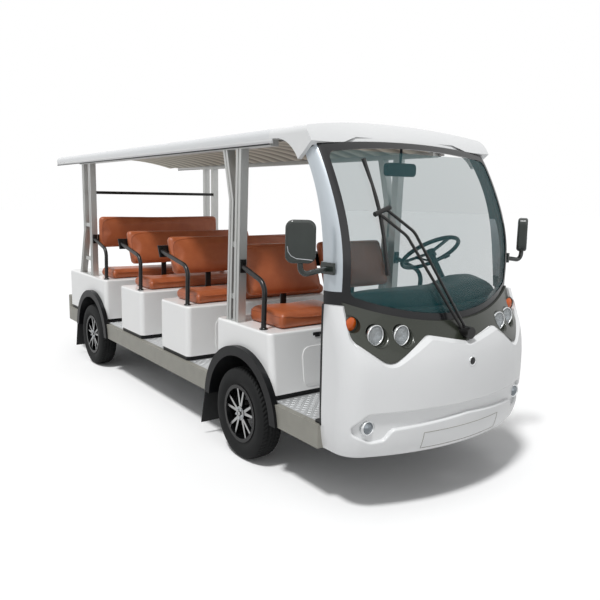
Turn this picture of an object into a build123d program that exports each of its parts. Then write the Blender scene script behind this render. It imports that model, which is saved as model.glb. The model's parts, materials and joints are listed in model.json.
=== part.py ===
"""Open-sided electric shuttle bus with four bench rows, a wrapped windscreen and a full-length roof.

Millimetres. +X points forward, +Y to the vehicle's left, +Z up. The origin is on the
ground under the middle of the vehicle. Pieces on the left are mirror copies of the right.
"""
from build123d import *
import math
import os

os.makedirs("parts", exist_ok=True)

# Overall size and wheel places
FRONT_OVERHANG = 1208
WHEELBASE = 2790
REAR_OVERHANG = 1062
LENGTH = FRONT_OVERHANG + WHEELBASE + REAR_OVERHANG
NOSE_X = LENGTH / 2
FRONT_AXLE_X = NOSE_X - FRONT_OVERHANG
REAR_AXLE_X = FRONT_AXLE_X - WHEELBASE
TAIL_X = REAR_AXLE_X - REAR_OVERHANG
TRACK = 1325
SEAT_GAP = 0.3

# Tyres and rims
TYRE_R = 292
TYRE_WIDTH = 160
BEAD_R = 170
SIDEWALL_R = 236
SHOULDER = (12, 14)
TREAD_EDGE = (24, 4)
RIM_FLANGE_R = 183
RIM_FLANGE_Y = 70
RIM_FLANGE_T = 6
RIM_BARREL_T = 10
SPOKE_PAIRS = 5
SPOKE_SPREAD = 13
SPOKE_ROOT_W = 20
SPOKE_TIP_W = 14
SPOKE_Y = (38, 58)
SPOKE_ROOT_SINK = 8
SPOKE_TIP_SINK = 4
SPOKE_ROOT_SHARE = 0.35
HUB_R = 44
HUB_Y = (6, 62)
HUB_CAP_T = 12
SPINDLE_R = 20
RUNNING_GAP = 0.06
SPINDLE_END_GAP = 2

# Steering and axles
KINGPIN_Y = 600
KINGPIN_R = 11
KNUCKLE_R = 26
KNUCKLE_HALF_H = 47
EAR_T = 20
EAR_R = 28
FORK_HALF_W = 22
AXLE_TUBE_R = 32
REAR_TUBE_R = 38
STEER_ARM_REACH = 120
STEER_ARM_W = 24
STEER_ARM_Z = (306, 322)
TIE_ROD_R = 10
TIE_ROD_Z = 295
TIE_EYE_R = 15
TIE_EYE_FOOT = 281
TIE_PIN_R = 8
TIE_PIN_GAP = 0.4
SPRING_HALF_L = 480
SPRING_RISE = 16
SPRING_T = 24
SPRING_EYE_R = 20
SPRING_DROP = 2
SHACKLE_HALF_W = 16
SADDLE_HALF_L = 40
FORK_SETBACK = 46
FORK_T = 20
COLLAR_R = 36
COLLAR_L = 40
REAR_TUBE_Y = 575
DIFF_R = 118
MOTOR_R = 88
MOTOR_AHEAD = 150
MOTOR_Y = (-60, 250)
MOTOR_NECK = (50, 60)
THROUGH_Z = (0, 900)

# Chassis and floor
RAIL_Y = (350, 400)
RAIL_Z = (340, 440)
RAIL_X = (REAR_AXLE_X - 682, FRONT_AXLE_X + 908)
RAIL_WALL = 5
JACK_X = (FRONT_AXLE_X - 682, REAR_AXLE_X + 668)
JACK_HALF_L = 45
JACK_PAD_T = 8
CROSS_X = (
    FRONT_AXLE_X + 868,
    FRONT_AXLE_X + 383,
    FRONT_AXLE_X - 442,
    (FRONT_AXLE_X + REAR_AXLE_X) / 2,
    REAR_AXLE_X + 568,
    REAR_AXLE_X - 642,
)
CROSS_W = 50
FLOOR_Z = 458
SILL_Y = (690, 730)
SILL_BOTTOM = 330
STEP_FRONT_X = FRONT_AXLE_X + 808
TAIL_PANEL_X = REAR_AXLE_X - 732
DECK_TOE = 110
DECK_TOE_HALF_W = 660

# Wheel arches
ARCH_R = 370
ARCH_LINER_T = 6
ARCH_LIP_R = 432
ARCH_LIP_Y = 748
WHEELHOUSE_Y = 440
FLAP_T = 8
FLAP_GAP = 4
FLAP_LEAN = 60
FLAP_FOOT_Z = 90
FLAP_Y = (-742, -600)

# Seat boxes: row, front face at the top, depth, forward slope of the front face at its foot
BOX_HALF_W = 709
BOX_TOP = 855
BOX_FOOT = 490
BOX_WALL = 16
BOX_CORNER_R = 38
BOX_TOP_R = 14
HATCH_RISE = 5
HATCH_ROOT = 4
HATCH_HALF_W = 480
HATCH_Z = (508, 752)
HATCH_R = 55
HATCH_ROWS = (1, 2, 3)
PLINTH_INSET = 8
PLINTH_T = 20
BOX_TABLE = (
    (1, FRONT_AXLE_X + 305, 642, 43),
    (2, FRONT_AXLE_X - 763, 470, 0),
    (3, FRONT_AXLE_X - 1612, 470, 0),
    (4, REAR_AXLE_X + 332, 1064, 0),
)

# Seats: row, cushion setback from the box front, cushion depth, cushion height,
# back foot behind the box front, back foot z, back top z, backward lean, spans across y
CUSHION_R = 28
BACK_T = 80
BACK_R = 30
SEAT_TABLE = (
    (1, 45, 400, 92, 370, 1015, 1340, 117, ((-600, -30), (30, 600))),
    (2, 62, 378, 76, 367, 1044, 1327, 117, ((-612, 612),)),
    (3, 62, 378, 76, 367, 1044, 1327, 117, ((-612, 612),)),
    (4, 62, 350, 76, 300, 1136, 1431, 0, ((-622, 622),)),
)
SEAT_BAR_T = 11
SEAT_BAR_H = 44
SEAT_POST_W = 44
SEAT_POST_Y = 300

# Roof posts in side view: base x, x at the bend, bend z, top x, all for the rear edge
POST_Y = (635, 690)
POST_W = 62
POST_REAR_W = 54
POST_GROOVE = (14, 5)
POST_BASE_T = 8
POST_BASE_RIM = 6
POST_TIE_H = 34
POST_TIE_Z = (1000, 1330)
RAIL_TOP_Z = 1966
ROOF_RAIL_H = 36
ROOF_RAIL_X = (REAR_AXLE_X - 362, FRONT_AXLE_X + 268)
B_FRONT_X = (FRONT_AXLE_X - 147, FRONT_AXLE_X - 114)
B_REAR = (
    (FRONT_AXLE_X - 231, BOX_TOP),
    (FRONT_AXLE_X - 199, RAIL_TOP_Z - 344),
    (FRONT_AXLE_X - 277, RAIL_TOP_Z - ROOF_RAIL_H),
)
D_FRONT_X = (REAR_AXLE_X - 114, REAR_AXLE_X - 114)
D_REAR = (
    (REAR_AXLE_X - 443, BOX_TOP),
    (REAR_AXLE_X - 294, BOX_TOP + 435),
    (REAR_AXLE_X - 296, RAIL_TOP_Z - ROOF_RAIL_H),
)
REAR_BAR_R = 14
REAR_BAR_Z = RAIL_TOP_Z - 307

# Grab rails: row, foot behind its box front
GRAB_R = 16
GRAB_Y = (POST_Y[0] + POST_Y[1]) / 2
GRAB_BEND_Z = 1135
GRAB_TOP_Z = 1215
GRAB_BEND_R = 85
GRAB_FOOT_R = 26
GRAB_FOOT_T = 6
GRAB_LEAN = 12
GRAB_TRIM = 150
GRAB_PLATE = (8, 40, 84)
GRAB_FEET = ((1, 135), (2, 89), (3, 115), (4, 89))

# Roof
ROOF_HALF_W = 708
ROOF_SIDE_TOP = RAIL_TOP_Z + 52
ROOF_RISE = 58
ROOF_CROWN = ROOF_SIDE_TOP + ROOF_RISE
ROOF_LEDGE_Y = 620
ROOF_SKIN_T = 24
ROOF_EDGE_R = 40
ROOF_RIBS = 9
ROOF_RIB_W = 40
ROOF_RIB_H = 18
ROOF_RIB_ROOT = 6
ROOF_RIB_ENDS = (TAIL_X + 120, FRONT_AXLE_X + 180)
CAP_REAR_X = FRONT_AXLE_X + 278
CAP_FRONT_X = FRONT_AXLE_X + 674
CAP_WALL = 26
CAP_STEP = 2
CAP_LEDGE = 40
CAP_ARCH_MID = (FRONT_AXLE_X + 476, RAIL_TOP_Z - 40)
CAP_BROW_MID = (FRONT_AXLE_X + 578, ROOF_CROWN - 35)
CAP_HOLLOW = (
    (CAP_FRONT_X, ROOF_CROWN - 130),
    (CAP_FRONT_X - 66, ROOF_CROWN - 76),
    (CAP_FRONT_X - 196, ROOF_CROWN - 36),
    (CAP_REAR_X, ROOF_CROWN - 24),
)
SEAM_REAR = (FRONT_AXLE_X + 558, RAIL_TOP_Z - 120)
SEAM_FRONT = (CAP_FRONT_X, RAIL_TOP_Z - 30)
SEAM_REACH = 900

# Front shell, section by section: z, front from the nose, bow radius, corner radius,
# half width, rear edge from the step front
SHELL_T = 30
SHELL_OPEN = 400
BELT_Z = (1107, 1175)
SCREEN_RISE = RAIL_TOP_Z - BELT_Z[1]
COWL_SECTIONS = (
    (330, -50, 1500, 140, 692, 0),
    (456, -14, 1500, 150, 712, 0),
    (650, 0, 1480, 150, 716, 0),
    (820, -6, 1450, 150, 716, 0),
    (960, -44, 1450, 140, 716, 0),
    (1125, -120, 1520, 120, 712, 0),
)
MASK_SECTIONS = (
    (780, -16, 1460, 140, 710, 0),
    (900, -48, 1480, 135, 710, 0),
    (1010, -118, 1560, 128, 709, 0),
    (1140, -156, 1560, 112, 704, 0),
)
UPPER_SECTIONS = (
    (BELT_Z[1] + -0.247 * SCREEN_RISE, -134, 1440, 118, 704, -2),
    (BELT_Z[1] + 0.004 * SCREEN_RISE, -158, 1480, 105, 700, -16),
    (BELT_Z[1] + 0.226 * SCREEN_RISE, -195, 1940, 95, 694, -32),
    (BELT_Z[1] + 0.585 * SCREEN_RISE, -305, 2760, 85, 688, -94),
    (BELT_Z[1] + 0.790 * SCREEN_RISE, -400, 3400, 75, 684, -172),
    (BELT_Z[1] + 1.011 * SCREEN_RISE, -545, 5000, 60, 680, -290),
)
SURROUND_Y = 660
SURROUND_LOW = (1122, 1003)
SURROUND_TOP = (RAIL_TOP_Z - 40, RAIL_TOP_Z - 6)
GLASS_Y = 622
GLASS_LOW = (1153, 1040)
GLASS_TOP = (RAIL_TOP_Z - 82, RAIL_TOP_Z - 42)
GLASS_SINK = 4
GLASS_T = 6
GLASS_CORNER_R = 45

# Lamp mask outline in front view, right half, from the belt to the middle
MASK_POINTS = ((664, 1160), (668, 940), (500, 812), (262, 950), (0, 898))
MASK_ROUNDS = (70, 70, 55)
LIP_Z = (800, 1000)
LIP_SLACK = 6
LIP_BEVEL = 20

# Groove across the cowl with a lamp pocket at each end, right half in front view: y, z, rounding
GROOVE_POINTS = (
    (300, 571, 0),
    (610, 568, 55),
    (672, 500, 40),
    (664, 456, 30),
    (590, 416, 50),
    (520, 424, 25),
    (478, 480, 40),
    (0, 511, 300),
)
GROOVE_DEPTH = 22
GROOVE_Z = (405, 600)
GROOVE_EDGE_R = 10
PLATE_SIZE = (600, 92, 20)
PLATE_Z = 396
PLATE_DEPTH = 4
RECESS_OUT = 2

# Lamps: node, half spacing in y, z, radius, rim ahead of the surface, body length
LAMPS = (
    ("turn_lamps", 640, 1017, 42, 14, 60),
    ("headlamps", 531, 958, 56, 24, 54),
    ("headlamps", 394, 951, 56, 26, 54),
    ("fog_lamps", 598, 492, 36, -18, 40),
)
LENS_SHARE = 0.8
LENS_RISE = 14
BADGE_R = 24
BADGE_L = 24
BADGE_RISE = 5
BADGE_Z = 796

# Cab fittings
WHEEL_HUB = (FRONT_AXLE_X + 564, 330, 1311)
WHEEL_RIM_R = 188
WHEEL_TUBE_R = 13
WHEEL_TILT = 35
WHEEL_BOSS_R = 34
WHEEL_BOSS_LOW = 24
WHEEL_BOSS_TOP = 16
WHEEL_SPOKE = (28, 10)
WHEEL_SPOKE_ANGLES = (-90, 35, 145)
COLUMN_R = 24
COLUMN_BEND_R = 60
COLUMN_STRAIGHT = 250
COLUMN_FOOT = (FRONT_AXLE_X + 868, WHEEL_HUB[1], 640)
DASH_SIDE = (
    (FRONT_AXLE_X + 740, 985),
    (FRONT_AXLE_X + 728, 1078),
    (FRONT_AXLE_X + 788, 1092),
    (NOSE_X - 110, 1066),
    (NOSE_X - 110, 960),
    (FRONT_AXLE_X + 848, 960),
)
DASH_HALF_W = 660
BINNACLE = (FRONT_AXLE_X + 753, WHEEL_HUB[1], 1075)
HOOD_R = 150
HOOD_X = (-10, 150)
HOOD_HALF_W = 180
HOOD_Z = (-60, 75)
MIRROR_AT = (FRONT_AXLE_X + 838, -885, 1433)
MIRROR_SIZE = (60, 150, 212)
MIRROR_TOE = -35
MIRROR_CORNER_R = 40
MIRROR_EDGE_R = 14
MIRROR_ARM_R = 14
MIRROR_ARM_BEND = 40
MIRROR_ROOT = (FRONT_AXLE_X + 828, -696, 1292)
MIRROR_ARM_LOW = 60
MIRROR_BRACKET = (100, 14, 60)
INNER_MIRROR = (FRONT_AXLE_X + 602, 0, RAIL_TOP_Z - 152)
INNER_STEM_TOP = (FRONT_AXLE_X + 608, 0, RAIL_TOP_Z + 27)
INNER_STEM_R = 8
INNER_SIZE = (36, 230, 76)
INNER_R = 25
WIPER_BASE = (NOSE_X - 64, 0, 944)
WIPER_JOINT = (-436, 1580)
WIPER_BLADE = ((-431, 1853), (-445, 1258))
WIPER_ELBOW = (-298, 1464)
WIPER_CLEAR = 30
WIPER_LIFT = 12
WIPER_R = 8
WIPER_BOSS_R = 32
WIPER_BOSS_L = 90
WIPER_ARM_Y = (-18, 36)
WIPER_ARM_CLOSE = 0.4
WIPER_BEND_R = 120
WIPER_LINK_Y = (-42, 62)
WIPER_LINK_R = 13
WIPER_LINK_SLOPE = 0.35
WIPER_BLADE_BEND = 900

# Tail
BUMPER_X = (TAIL_PANEL_X - 90, TAIL_PANEL_X)
BUMPER_Z = (320, 575)
BUMPER_HALF_W = 712
BUMPER_R = 30
TOW_EYE_R = 12.5
TOW_EYE_T = 20
TOW_EYE_Z = 400
TOW_REACH = 40
TOW_TONGUE_R = 28
TAIL_LAMP_Y = (560, 680)
TAIL_LAMP_Z = (620, 790)
TAIL_LAMP_T = 14
TAIL_LAMP_R = 20
BATTERY_TABLE = ((2, 60, 340), (3, 60, 340))
BATTERY_HALF_W = 480
BATTERY_H = 270


def block(x, y, z):
    """A box given by its low and high value along each axis."""
    spans = (x, y, z)
    middle = [(low + high) / 2 for low, high in spans]
    return Pos(*middle) * Box(*[abs(high - low) for low, high in spans])


def side_prism(points, y):
    """An outline in the side view (x, z), carried across from y[0] to y[1]."""
    wire = Wire.make_polygon([Vector(px, y[0], pz) for px, pz in points], close=True)
    return extrude(Face(wire), amount=y[1] - y[0], dir=(0, 1, 0))


def side_form(points, bends, y):
    """A side-view outline carried across; bends maps an edge's number to its arc's mid point."""
    edges = []
    for i, start in enumerate(points):
        end = points[(i + 1) % len(points)]
        at = [Vector(px, y[0], pz) for px, pz in (start, bends.get(i, start), end)]
        edges.append(Edge.make_three_point_arc(*at) if i in bends else Edge.make_line(at[0], at[2]))
    return extrude(Face(Wire(edges)), amount=y[1] - y[0], dir=(0, 1, 0))


def front_prism(edges, x):
    """A closed outline in the front view (y, z), drawn at x[0] and carried to x[1]."""
    return extrude(Face(Wire(edges)), amount=x[1] - x[0], dir=(1, 0, 0))


def across(radius, x, z, y):
    """A round bar along Y."""
    bar = Cylinder(radius, abs(y[1] - y[0]))
    return Pos(x, (y[0] + y[1]) / 2, z) * Rot(90, 0, 0) * bar


def upright(radius, x, y, z):
    """A round bar along Z."""
    return Pos(x, y, (z[0] + z[1]) / 2) * Cylinder(radius, abs(z[1] - z[0]))


def both(shape):
    """A right or left piece with its mirror copy."""
    return [shape, mirror(shape, about=Plane.XZ)]


def solids_of(items):
    """Every solid in a list of shapes."""
    return [solid for item in items for solid in item.solids()]


def save(node, *items):
    """Write one node's solids to its STEP file."""
    found = solids_of(items)
    shape = found[0] if len(found) == 1 else Compound(found)
    export_step(shape, f"parts/{node}.step")


def bent_tube(points, bend, radius):
    """A round tube along straight runs joined by arcs of one bend radius."""
    path = FilletPolyline(*points, radius=bend)
    start = Plane(origin=path @ 0, z_dir=path % 0)
    return sweep(start * Circle(radius), path=path)


# Front shell


def plan_section(row, inset, open_rear):
    """One level of the shell in plan: two sides, two corner arcs and one bowed front arc."""
    z, ahead, bow, corner, half, rear = row
    nose = NOSE_X + ahead
    centre_x = nose - bow
    reach, rise = bow - corner, half - corner
    corner_x = centre_x + math.sqrt(reach**2 - rise**2)
    turn = math.atan2(rise, corner_x - centre_x)
    mid_turn = (turn + math.pi / 2) / 2
    small, large, side = corner - inset, bow - inset, half - inset
    tangent = (centre_x + large * math.cos(turn), large * math.sin(turn))
    bulge = (corner_x + small * math.cos(mid_turn), rise + small * math.sin(mid_turn))
    back = STEP_FRONT_X + rear - open_rear
    edges = [
        Edge.make_line((back, -side, z), (corner_x, -side, z)),
        Edge.make_three_point_arc(
            (corner_x, -side, z), (bulge[0], -bulge[1], z), (tangent[0], -tangent[1], z)
        ),
        Edge.make_three_point_arc(
            (tangent[0], -tangent[1], z), (centre_x + large, 0, z), (*tangent, z)
        ),
        Edge.make_three_point_arc((*tangent, z), (*bulge, z), (corner_x, side, z)),
        Edge.make_line((corner_x, side, z), (back, side, z)),
        Edge.make_line((back, side, z), (back, -side, z)),
    ]
    return Face(Wire(edges))


def front_x(rows, y, z):
    """Front face of a shell at a place in the front view, read straight between its sections."""
    for low, high in zip(rows, rows[1:]):
        if low[0] <= z <= high[0]:
            share = (z - low[0]) / (high[0] - low[0])
            ahead, bow, corner, half = (a + share * (b - a) for a, b in zip(low[1:5], high[1:5]))
            centre_x = NOSE_X + ahead - bow
            rise = half - corner
            corner_x = centre_x + math.sqrt((bow - corner) ** 2 - rise**2)
            on_bow = abs(y) <= rise * bow / (bow - corner)
            if on_bow:
                return centre_x + math.sqrt(bow**2 - y**2)
            return corner_x + math.sqrt(corner**2 - (abs(y) - rise) ** 2)
    raise ValueError(f"height {z} is outside the shell")


def shell_solid(rows, inset=0, open_rear=0, open_ends=0):
    """The shell's filled form, inset all round, run on past its rear and its ends for a cut."""
    stretched = [list(row) for row in rows]
    stretched[0][0] -= open_ends
    stretched[-1][0] += open_ends
    return loft([plan_section(row, inset, open_rear) for row in stretched])


def shell_wall(rows, outer, inner):
    """A wall between two insets of the shell, open behind, above and below."""
    return shell_solid(rows, outer) - shell_solid(
        rows, inner, open_rear=SHELL_OPEN, open_ends=SHELL_T
    )


def screen_outline(half, low, top, round_r, x):
    """Windscreen outline in front view: bowed foot, straight sides, crowned head."""
    corners = [(-half, low[0]), (half, low[0]), (half, top[0]), (-half, top[0])]
    at = [Vector(x, y, z) for y, z in corners]
    wire = Wire(
        [
            Edge.make_three_point_arc(at[0], Vector(x, 0, low[1]), at[1]),
            Edge.make_line(at[1], at[2]),
            Edge.make_three_point_arc(at[2], Vector(x, 0, top[1]), at[3]),
            Edge.make_line(at[3], at[0]),
        ]
    )
    face = Face(wire)
    return face.fillet_2d(round_r, face.vertices()) if round_r else face


def below_seam(y):
    """Side-view half plane under the seam between the roof cap and the windscreen posts."""
    rise = (SEAM_FRONT[1] - SEAM_REAR[1]) / (SEAM_FRONT[0] - SEAM_REAR[0])
    left = (SEAM_REAR[0] - SEAM_REACH, SEAM_REAR[1] - SEAM_REACH * rise)
    right = (SEAM_FRONT[0] + SEAM_REACH, SEAM_FRONT[1] + SEAM_REACH * rise)
    return side_prism((left, right, (right[0], 0), (left[0], 0)), y)


DEEP_X = (FRONT_AXLE_X + 178, NOSE_X + 170)
WIDE_Y = (-1200, 1200)

cowl_wall = shell_wall(COWL_SECTIONS, 0, SHELL_T)
mask_wall = shell_wall(MASK_SECTIONS, 0, SHELL_T)
upper_wall = shell_wall(UPPER_SECTIONS, 0, SHELL_T)
surround_prism = extrude(
    screen_outline(SURROUND_Y, SURROUND_LOW, SURROUND_TOP, 0, DEEP_X[0]),
    amount=DEEP_X[1] - DEEP_X[0],
    dir=(1, 0, 0),
)
glass_prism = extrude(
    screen_outline(GLASS_Y, GLASS_LOW, GLASS_TOP, GLASS_CORNER_R, DEEP_X[0]),
    amount=DEEP_X[1] - DEEP_X[0],
    dir=(1, 0, 0),
)

# The mask outline is closed well above the belt, so that it takes the shell up to the surround
right_side = [(DEEP_X[0], -y, z) for y, z in MASK_POINTS]
left_side = [(DEEP_X[0], y, z) for y, z in reversed(MASK_POINTS[:-1])]
mask_edge = FilletPolyline(
    *right_side, *left_side, radius=[*MASK_ROUNDS, MASK_ROUNDS[-1], *reversed(MASK_ROUNDS)]
)
mask_top = Edge.make_line(mask_edge @ 1, mask_edge @ 0)
mask_prism = front_prism([*mask_edge.edges(), mask_top], DEEP_X)

side_belt = [
    block(DEEP_X, span, BELT_Z) for span in ((WIDE_Y[0], -SURROUND_Y), (SURROUND_Y, WIDE_Y[1]))
]
below_belt = block(DEEP_X, WIDE_Y, (0, BELT_Z[0]))
above_belt = block(DEEP_X, WIDE_Y, (BELT_Z[1], ROOF_CROWN))

cowl_lamp_holes = [
    Pos(NOSE_X - SHELL_OPEN / 2, side * y, z) * Rot(0, 90, 0) * Cylinder(radius + SEAT_GAP, SHELL_OPEN)
    for _, y, z, radius, _, _ in LAMPS
    for side in (-1, 1)
]


def outer_edges(shape, rows, z, slack):
    """Edges of a shell piece that lie on its outer face between two heights."""

    def off_face(at):
        return abs(at.X - front_x(rows, at.Y, at.Z))

    level = [e for e in shape.edges() if z[0] < (e @ 0.5).Z < z[1]]
    return [e for e in level if max(off_face(e @ t) for t in (0.25, 0.5)) < slack]


front_cowl = (cowl_wall & below_belt) - mask_prism - surround_prism
front_cowl = chamfer(outer_edges(front_cowl, COWL_SECTIONS, LIP_Z, LIP_SLACK), LIP_BEVEL)
groove_right = [(DEEP_X[0], -y, z) for y, z, _ in GROOVE_POINTS]
groove_left = [(DEEP_X[0], y, z) for y, z, _ in reversed(GROOVE_POINTS[:-1])]
groove_rounds = [r for _, _, r in GROOVE_POINTS[1:]]
groove_edge = FilletPolyline(
    *groove_right, *groove_left, radius=[*groove_rounds, *reversed(groove_rounds[:-1])]
)
groove_top = Edge.make_line(groove_edge @ 1, groove_edge @ 0)
front_cowl -= shell_wall(COWL_SECTIONS, -RECESS_OUT, GROOVE_DEPTH) & front_prism(
    [*groove_edge.edges(), groove_top], DEEP_X
)
front_cowl = fillet(outer_edges(front_cowl, COWL_SECTIONS, GROOVE_Z, LIP_SLACK), GROOVE_EDGE_R)
plate_prism = extrude(
    Pos(DEEP_X[0], 0, PLATE_Z) * Plane.YZ * RectangleRounded(*PLATE_SIZE),
    amount=DEEP_X[1] - DEEP_X[0],
    dir=(1, 0, 0),
)
front_cowl -= shell_wall(COWL_SECTIONS, -RECESS_OUT, PLATE_DEPTH) & plate_prism
lamp_mask = (mask_wall & mask_prism) - surround_prism - side_belt[0] - side_belt[1]
for hole in cowl_lamp_holes:
    front_cowl -= hole
    lamp_mask -= hole
front_cowl += Pos(front_x(COWL_SECTIONS, 0, BADGE_Z) - BADGE_L / 2 + BADGE_RISE, 0, BADGE_Z) * Rot(
    0, 90, 0
) * Cylinder(BADGE_R, BADGE_L)
save("front_cowl", front_cowl)
save("lamp_mask", lamp_mask)

surround = (upper_wall & surround_prism) - glass_prism
for belt in side_belt:
    surround += upper_wall & belt
save("windscreen_surround", surround)
glass_wall = shell_wall(UPPER_SECTIONS, GLASS_SINK, GLASS_SINK + GLASS_T)
save("windscreen", glass_wall & glass_prism)

posts = ((upper_wall & above_belt) - surround_prism) & below_seam(WIDE_Y)
save("windscreen_posts", posts)

# Lamps: each is a turned body with a domed lens on its front


def turned_lamp(radius, front, length):
    """A round lamp turned about X: body, rim and domed lens."""
    lens_r = radius * LENS_SHARE
    dome_r = (lens_r**2 + LENS_RISE**2) / (2 * LENS_RISE)
    half_turn = math.asin(lens_r / dome_r) / 2
    dome_x = front + LENS_RISE - dome_r
    mid = (dome_x + dome_r * math.cos(half_turn), dome_r * math.sin(half_turn))
    back = front - length
    points = ((back, 0), (back, radius), (front, radius), (front, lens_r))
    edges = [Edge.make_line(start, end) for start, end in zip(points, points[1:])]
    tip = (front + LENS_RISE, 0)
    edges.append(Edge.make_three_point_arc(points[-1], mid, tip))
    edges.append(Edge.make_line(tip, points[0]))
    return revolve(Face(Wire(edges)), axis=Axis.X)


lamps = {}
for node, y, z, radius, proud, length in LAMPS:
    front = front_x(COWL_SECTIONS if node == "fog_lamps" else MASK_SECTIONS, y, z) + proud
    lamps.setdefault(node, []).extend(both(Pos(0, y, z) * turned_lamp(radius, front, length)))
for node, items in lamps.items():
    save(node, *items)

# Roof: a crowned panel, a front cap that turns down to the posts, and two side rails


def crown_face(x, lower, inset):
    """Roof section in front view: level foot, upright edges, rounded shoulders, crowned top."""
    half = ROOF_HALF_W - inset
    shoulder = ROOF_SIDE_TOP - inset
    points = [Vector(x, -half, lower), Vector(x, -half, shoulder), Vector(x, half, shoulder)]
    crown = Edge.make_three_point_arc(points[1], Vector(x, 0, ROOF_CROWN - inset), points[2])
    foot = Vector(x, half, lower)
    face = Face(
        Wire(
            [
                Edge.make_line(points[0], points[1]),
                crown,
                Edge.make_line(points[2], foot),
                Edge.make_line(foot, points[0]),
            ]
        )
    )
    shoulders = [v for v in face.vertices() if v.Z > lower + 1]
    return face.fillet_2d(ROOF_EDGE_R - inset, shoulders)


def under_arc(x, drop):
    """Arc under the roof skin in front view, from ledge to ledge, lowered in the middle."""
    ends = [Vector(x, y, RAIL_TOP_Z) for y in (-ROOF_LEDGE_Y, ROOF_LEDGE_Y)]
    return Edge.make_three_point_arc(ends[0], Vector(x, 0, ROOF_CROWN - ROOF_SKIN_T - drop), ends[1])


roof_outer = extrude(crown_face(TAIL_X, RAIL_TOP_Z, 0), amount=CAP_REAR_X - TAIL_X, dir=(1, 0, 0))
top_arc = under_arc(TAIL_X, 0)
hollow = front_prism([top_arc, Edge.make_line(top_arc @ 1, top_arc @ 0)], (TAIL_X, CAP_REAR_X))
roof_panel = roof_outer - hollow
rib_step = (ROOF_RIB_ENDS[1] - ROOF_RIB_ENDS[0]) / (ROOF_RIBS - 1)
for i in range(ROOF_RIBS):
    rib_x = ROOF_RIB_ENDS[0] + i * rib_step - ROOF_RIB_W / 2
    arcs = [under_arc(rib_x, -ROOF_RIB_ROOT), under_arc(rib_x, ROOF_RIB_H)]
    roof_panel += front_prism(arcs, (rib_x, rib_x + ROOF_RIB_W))
save("roof_panel", roof_panel)

cap_points = [
    (CAP_REAR_X, ROOF_CROWN + CAP_STEP),
    (CAP_REAR_X, RAIL_TOP_Z),
    (CAP_REAR_X + CAP_LEDGE, RAIL_TOP_Z),
    SEAM_REAR,
    SEAM_FRONT,
]
cap_bends = {2: CAP_ARCH_MID, 4: CAP_BROW_MID}
cap_prism = side_form(cap_points, cap_bends, WIDE_Y)
cap_outer = cap_prism & extrude(
    crown_face(CAP_REAR_X, BELT_Z[1], 0), amount=DEEP_X[1] - CAP_REAR_X, dir=(1, 0, 0)
)
cap_hollow = Pos(-CAP_WALL, 0, 0) * (
    extrude(crown_face(CAP_REAR_X, BELT_Z[0], CAP_WALL), amount=CAP_FRONT_X - CAP_REAR_X, dir=(1, 0, 0))
    & side_prism(((CAP_REAR_X, BELT_Z[0]), (CAP_FRONT_X, BELT_Z[0]), *CAP_HOLLOW), WIDE_Y)
)
roof_cap = cap_outer - cap_hollow - surround_prism
save("roof_cap", roof_cap - upper_wall)

roof_rail = block(ROOF_RAIL_X, POST_Y, (RAIL_TOP_Z - ROOF_RAIL_H, RAIL_TOP_Z))
save("roof_rails", *both(roof_rail))

# Roof posts in pairs, tied by short plates and standing on base plates


def strip(points, width):
    """Side-view outline of a bar whose rear edge follows the points."""
    return list(points) + [(x + width, z) for x, z in reversed(points)]


POST_TOP = RAIL_TOP_Z - ROOF_RAIL_H


def grooved(points, width):
    """One roof post: a flat bar along the points with a groove down its outer face."""
    groove_w, groove_d = POST_GROOVE
    bar = side_prism(strip(points, width), POST_Y)
    lane = [(x + (width - groove_w) / 2, z) for x, z in points]
    return bar - side_prism(strip(lane, groove_w), (POST_Y[1] - groove_d, POST_Y[1]))


def post_pair(front_line, rear_points):
    """Two roof posts, the rear one bent, with their tie plates and base plate."""
    pair = grooved(((front_line[0], BOX_TOP), (front_line[1], POST_TOP)), POST_W)
    pair += grooved(rear_points, POST_REAR_W)
    base_x = (rear_points[0][0] - POST_BASE_RIM, front_line[0] + POST_W + POST_BASE_RIM)
    pair += block(base_x, (POST_Y[0] - POST_BASE_RIM, POST_Y[1]), (BOX_TOP, BOX_TOP + POST_BASE_T))
    for z in POST_TIE_Z:
        tie_x = (rear_points[1][0] + POST_REAR_W / 2, front_line[0] + POST_W / 2)
        tie_y = (POST_Y[0] + POST_GROOVE[1], POST_Y[1] - POST_GROOVE[1] - 1)
        pair += block(tie_x, tie_y, (z, z + POST_TIE_H))
    return pair


b_posts = post_pair(B_FRONT_X, B_REAR)
d_posts = post_pair(D_FRONT_X, D_REAR)
save("front_roof_posts", *both(b_posts))
save("rear_roof_posts", *both(d_posts))
REAR_BAR_X = D_FRONT_X[0] + POST_W / 2
save("rear_bar", across(REAR_BAR_R, REAR_BAR_X, REAR_BAR_Z, (-POST_Y[0], POST_Y[0])))

# Wheel arches and the cuts that they need

AXLES = (("front", FRONT_AXLE_X), ("rear", REAR_AXLE_X))
ARCH_CUT_R = ARCH_R + ARCH_LINER_T + SEAT_GAP
wheelhouse_cuts = [
    across(ARCH_CUT_R, x, TYRE_R, span)
    for _, x in AXLES
    for span in ((WIDE_Y[0], -WHEELHOUSE_Y), (WHEELHOUSE_Y, WIDE_Y[1]))
]
lip_cuts = [across(ARCH_LIP_R + SEAT_GAP, x, TYRE_R, WIDE_Y) for _, x in AXLES]


def cut_all(shape, tools):
    for tool in tools:
        shape -= tool
    return shape


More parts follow.
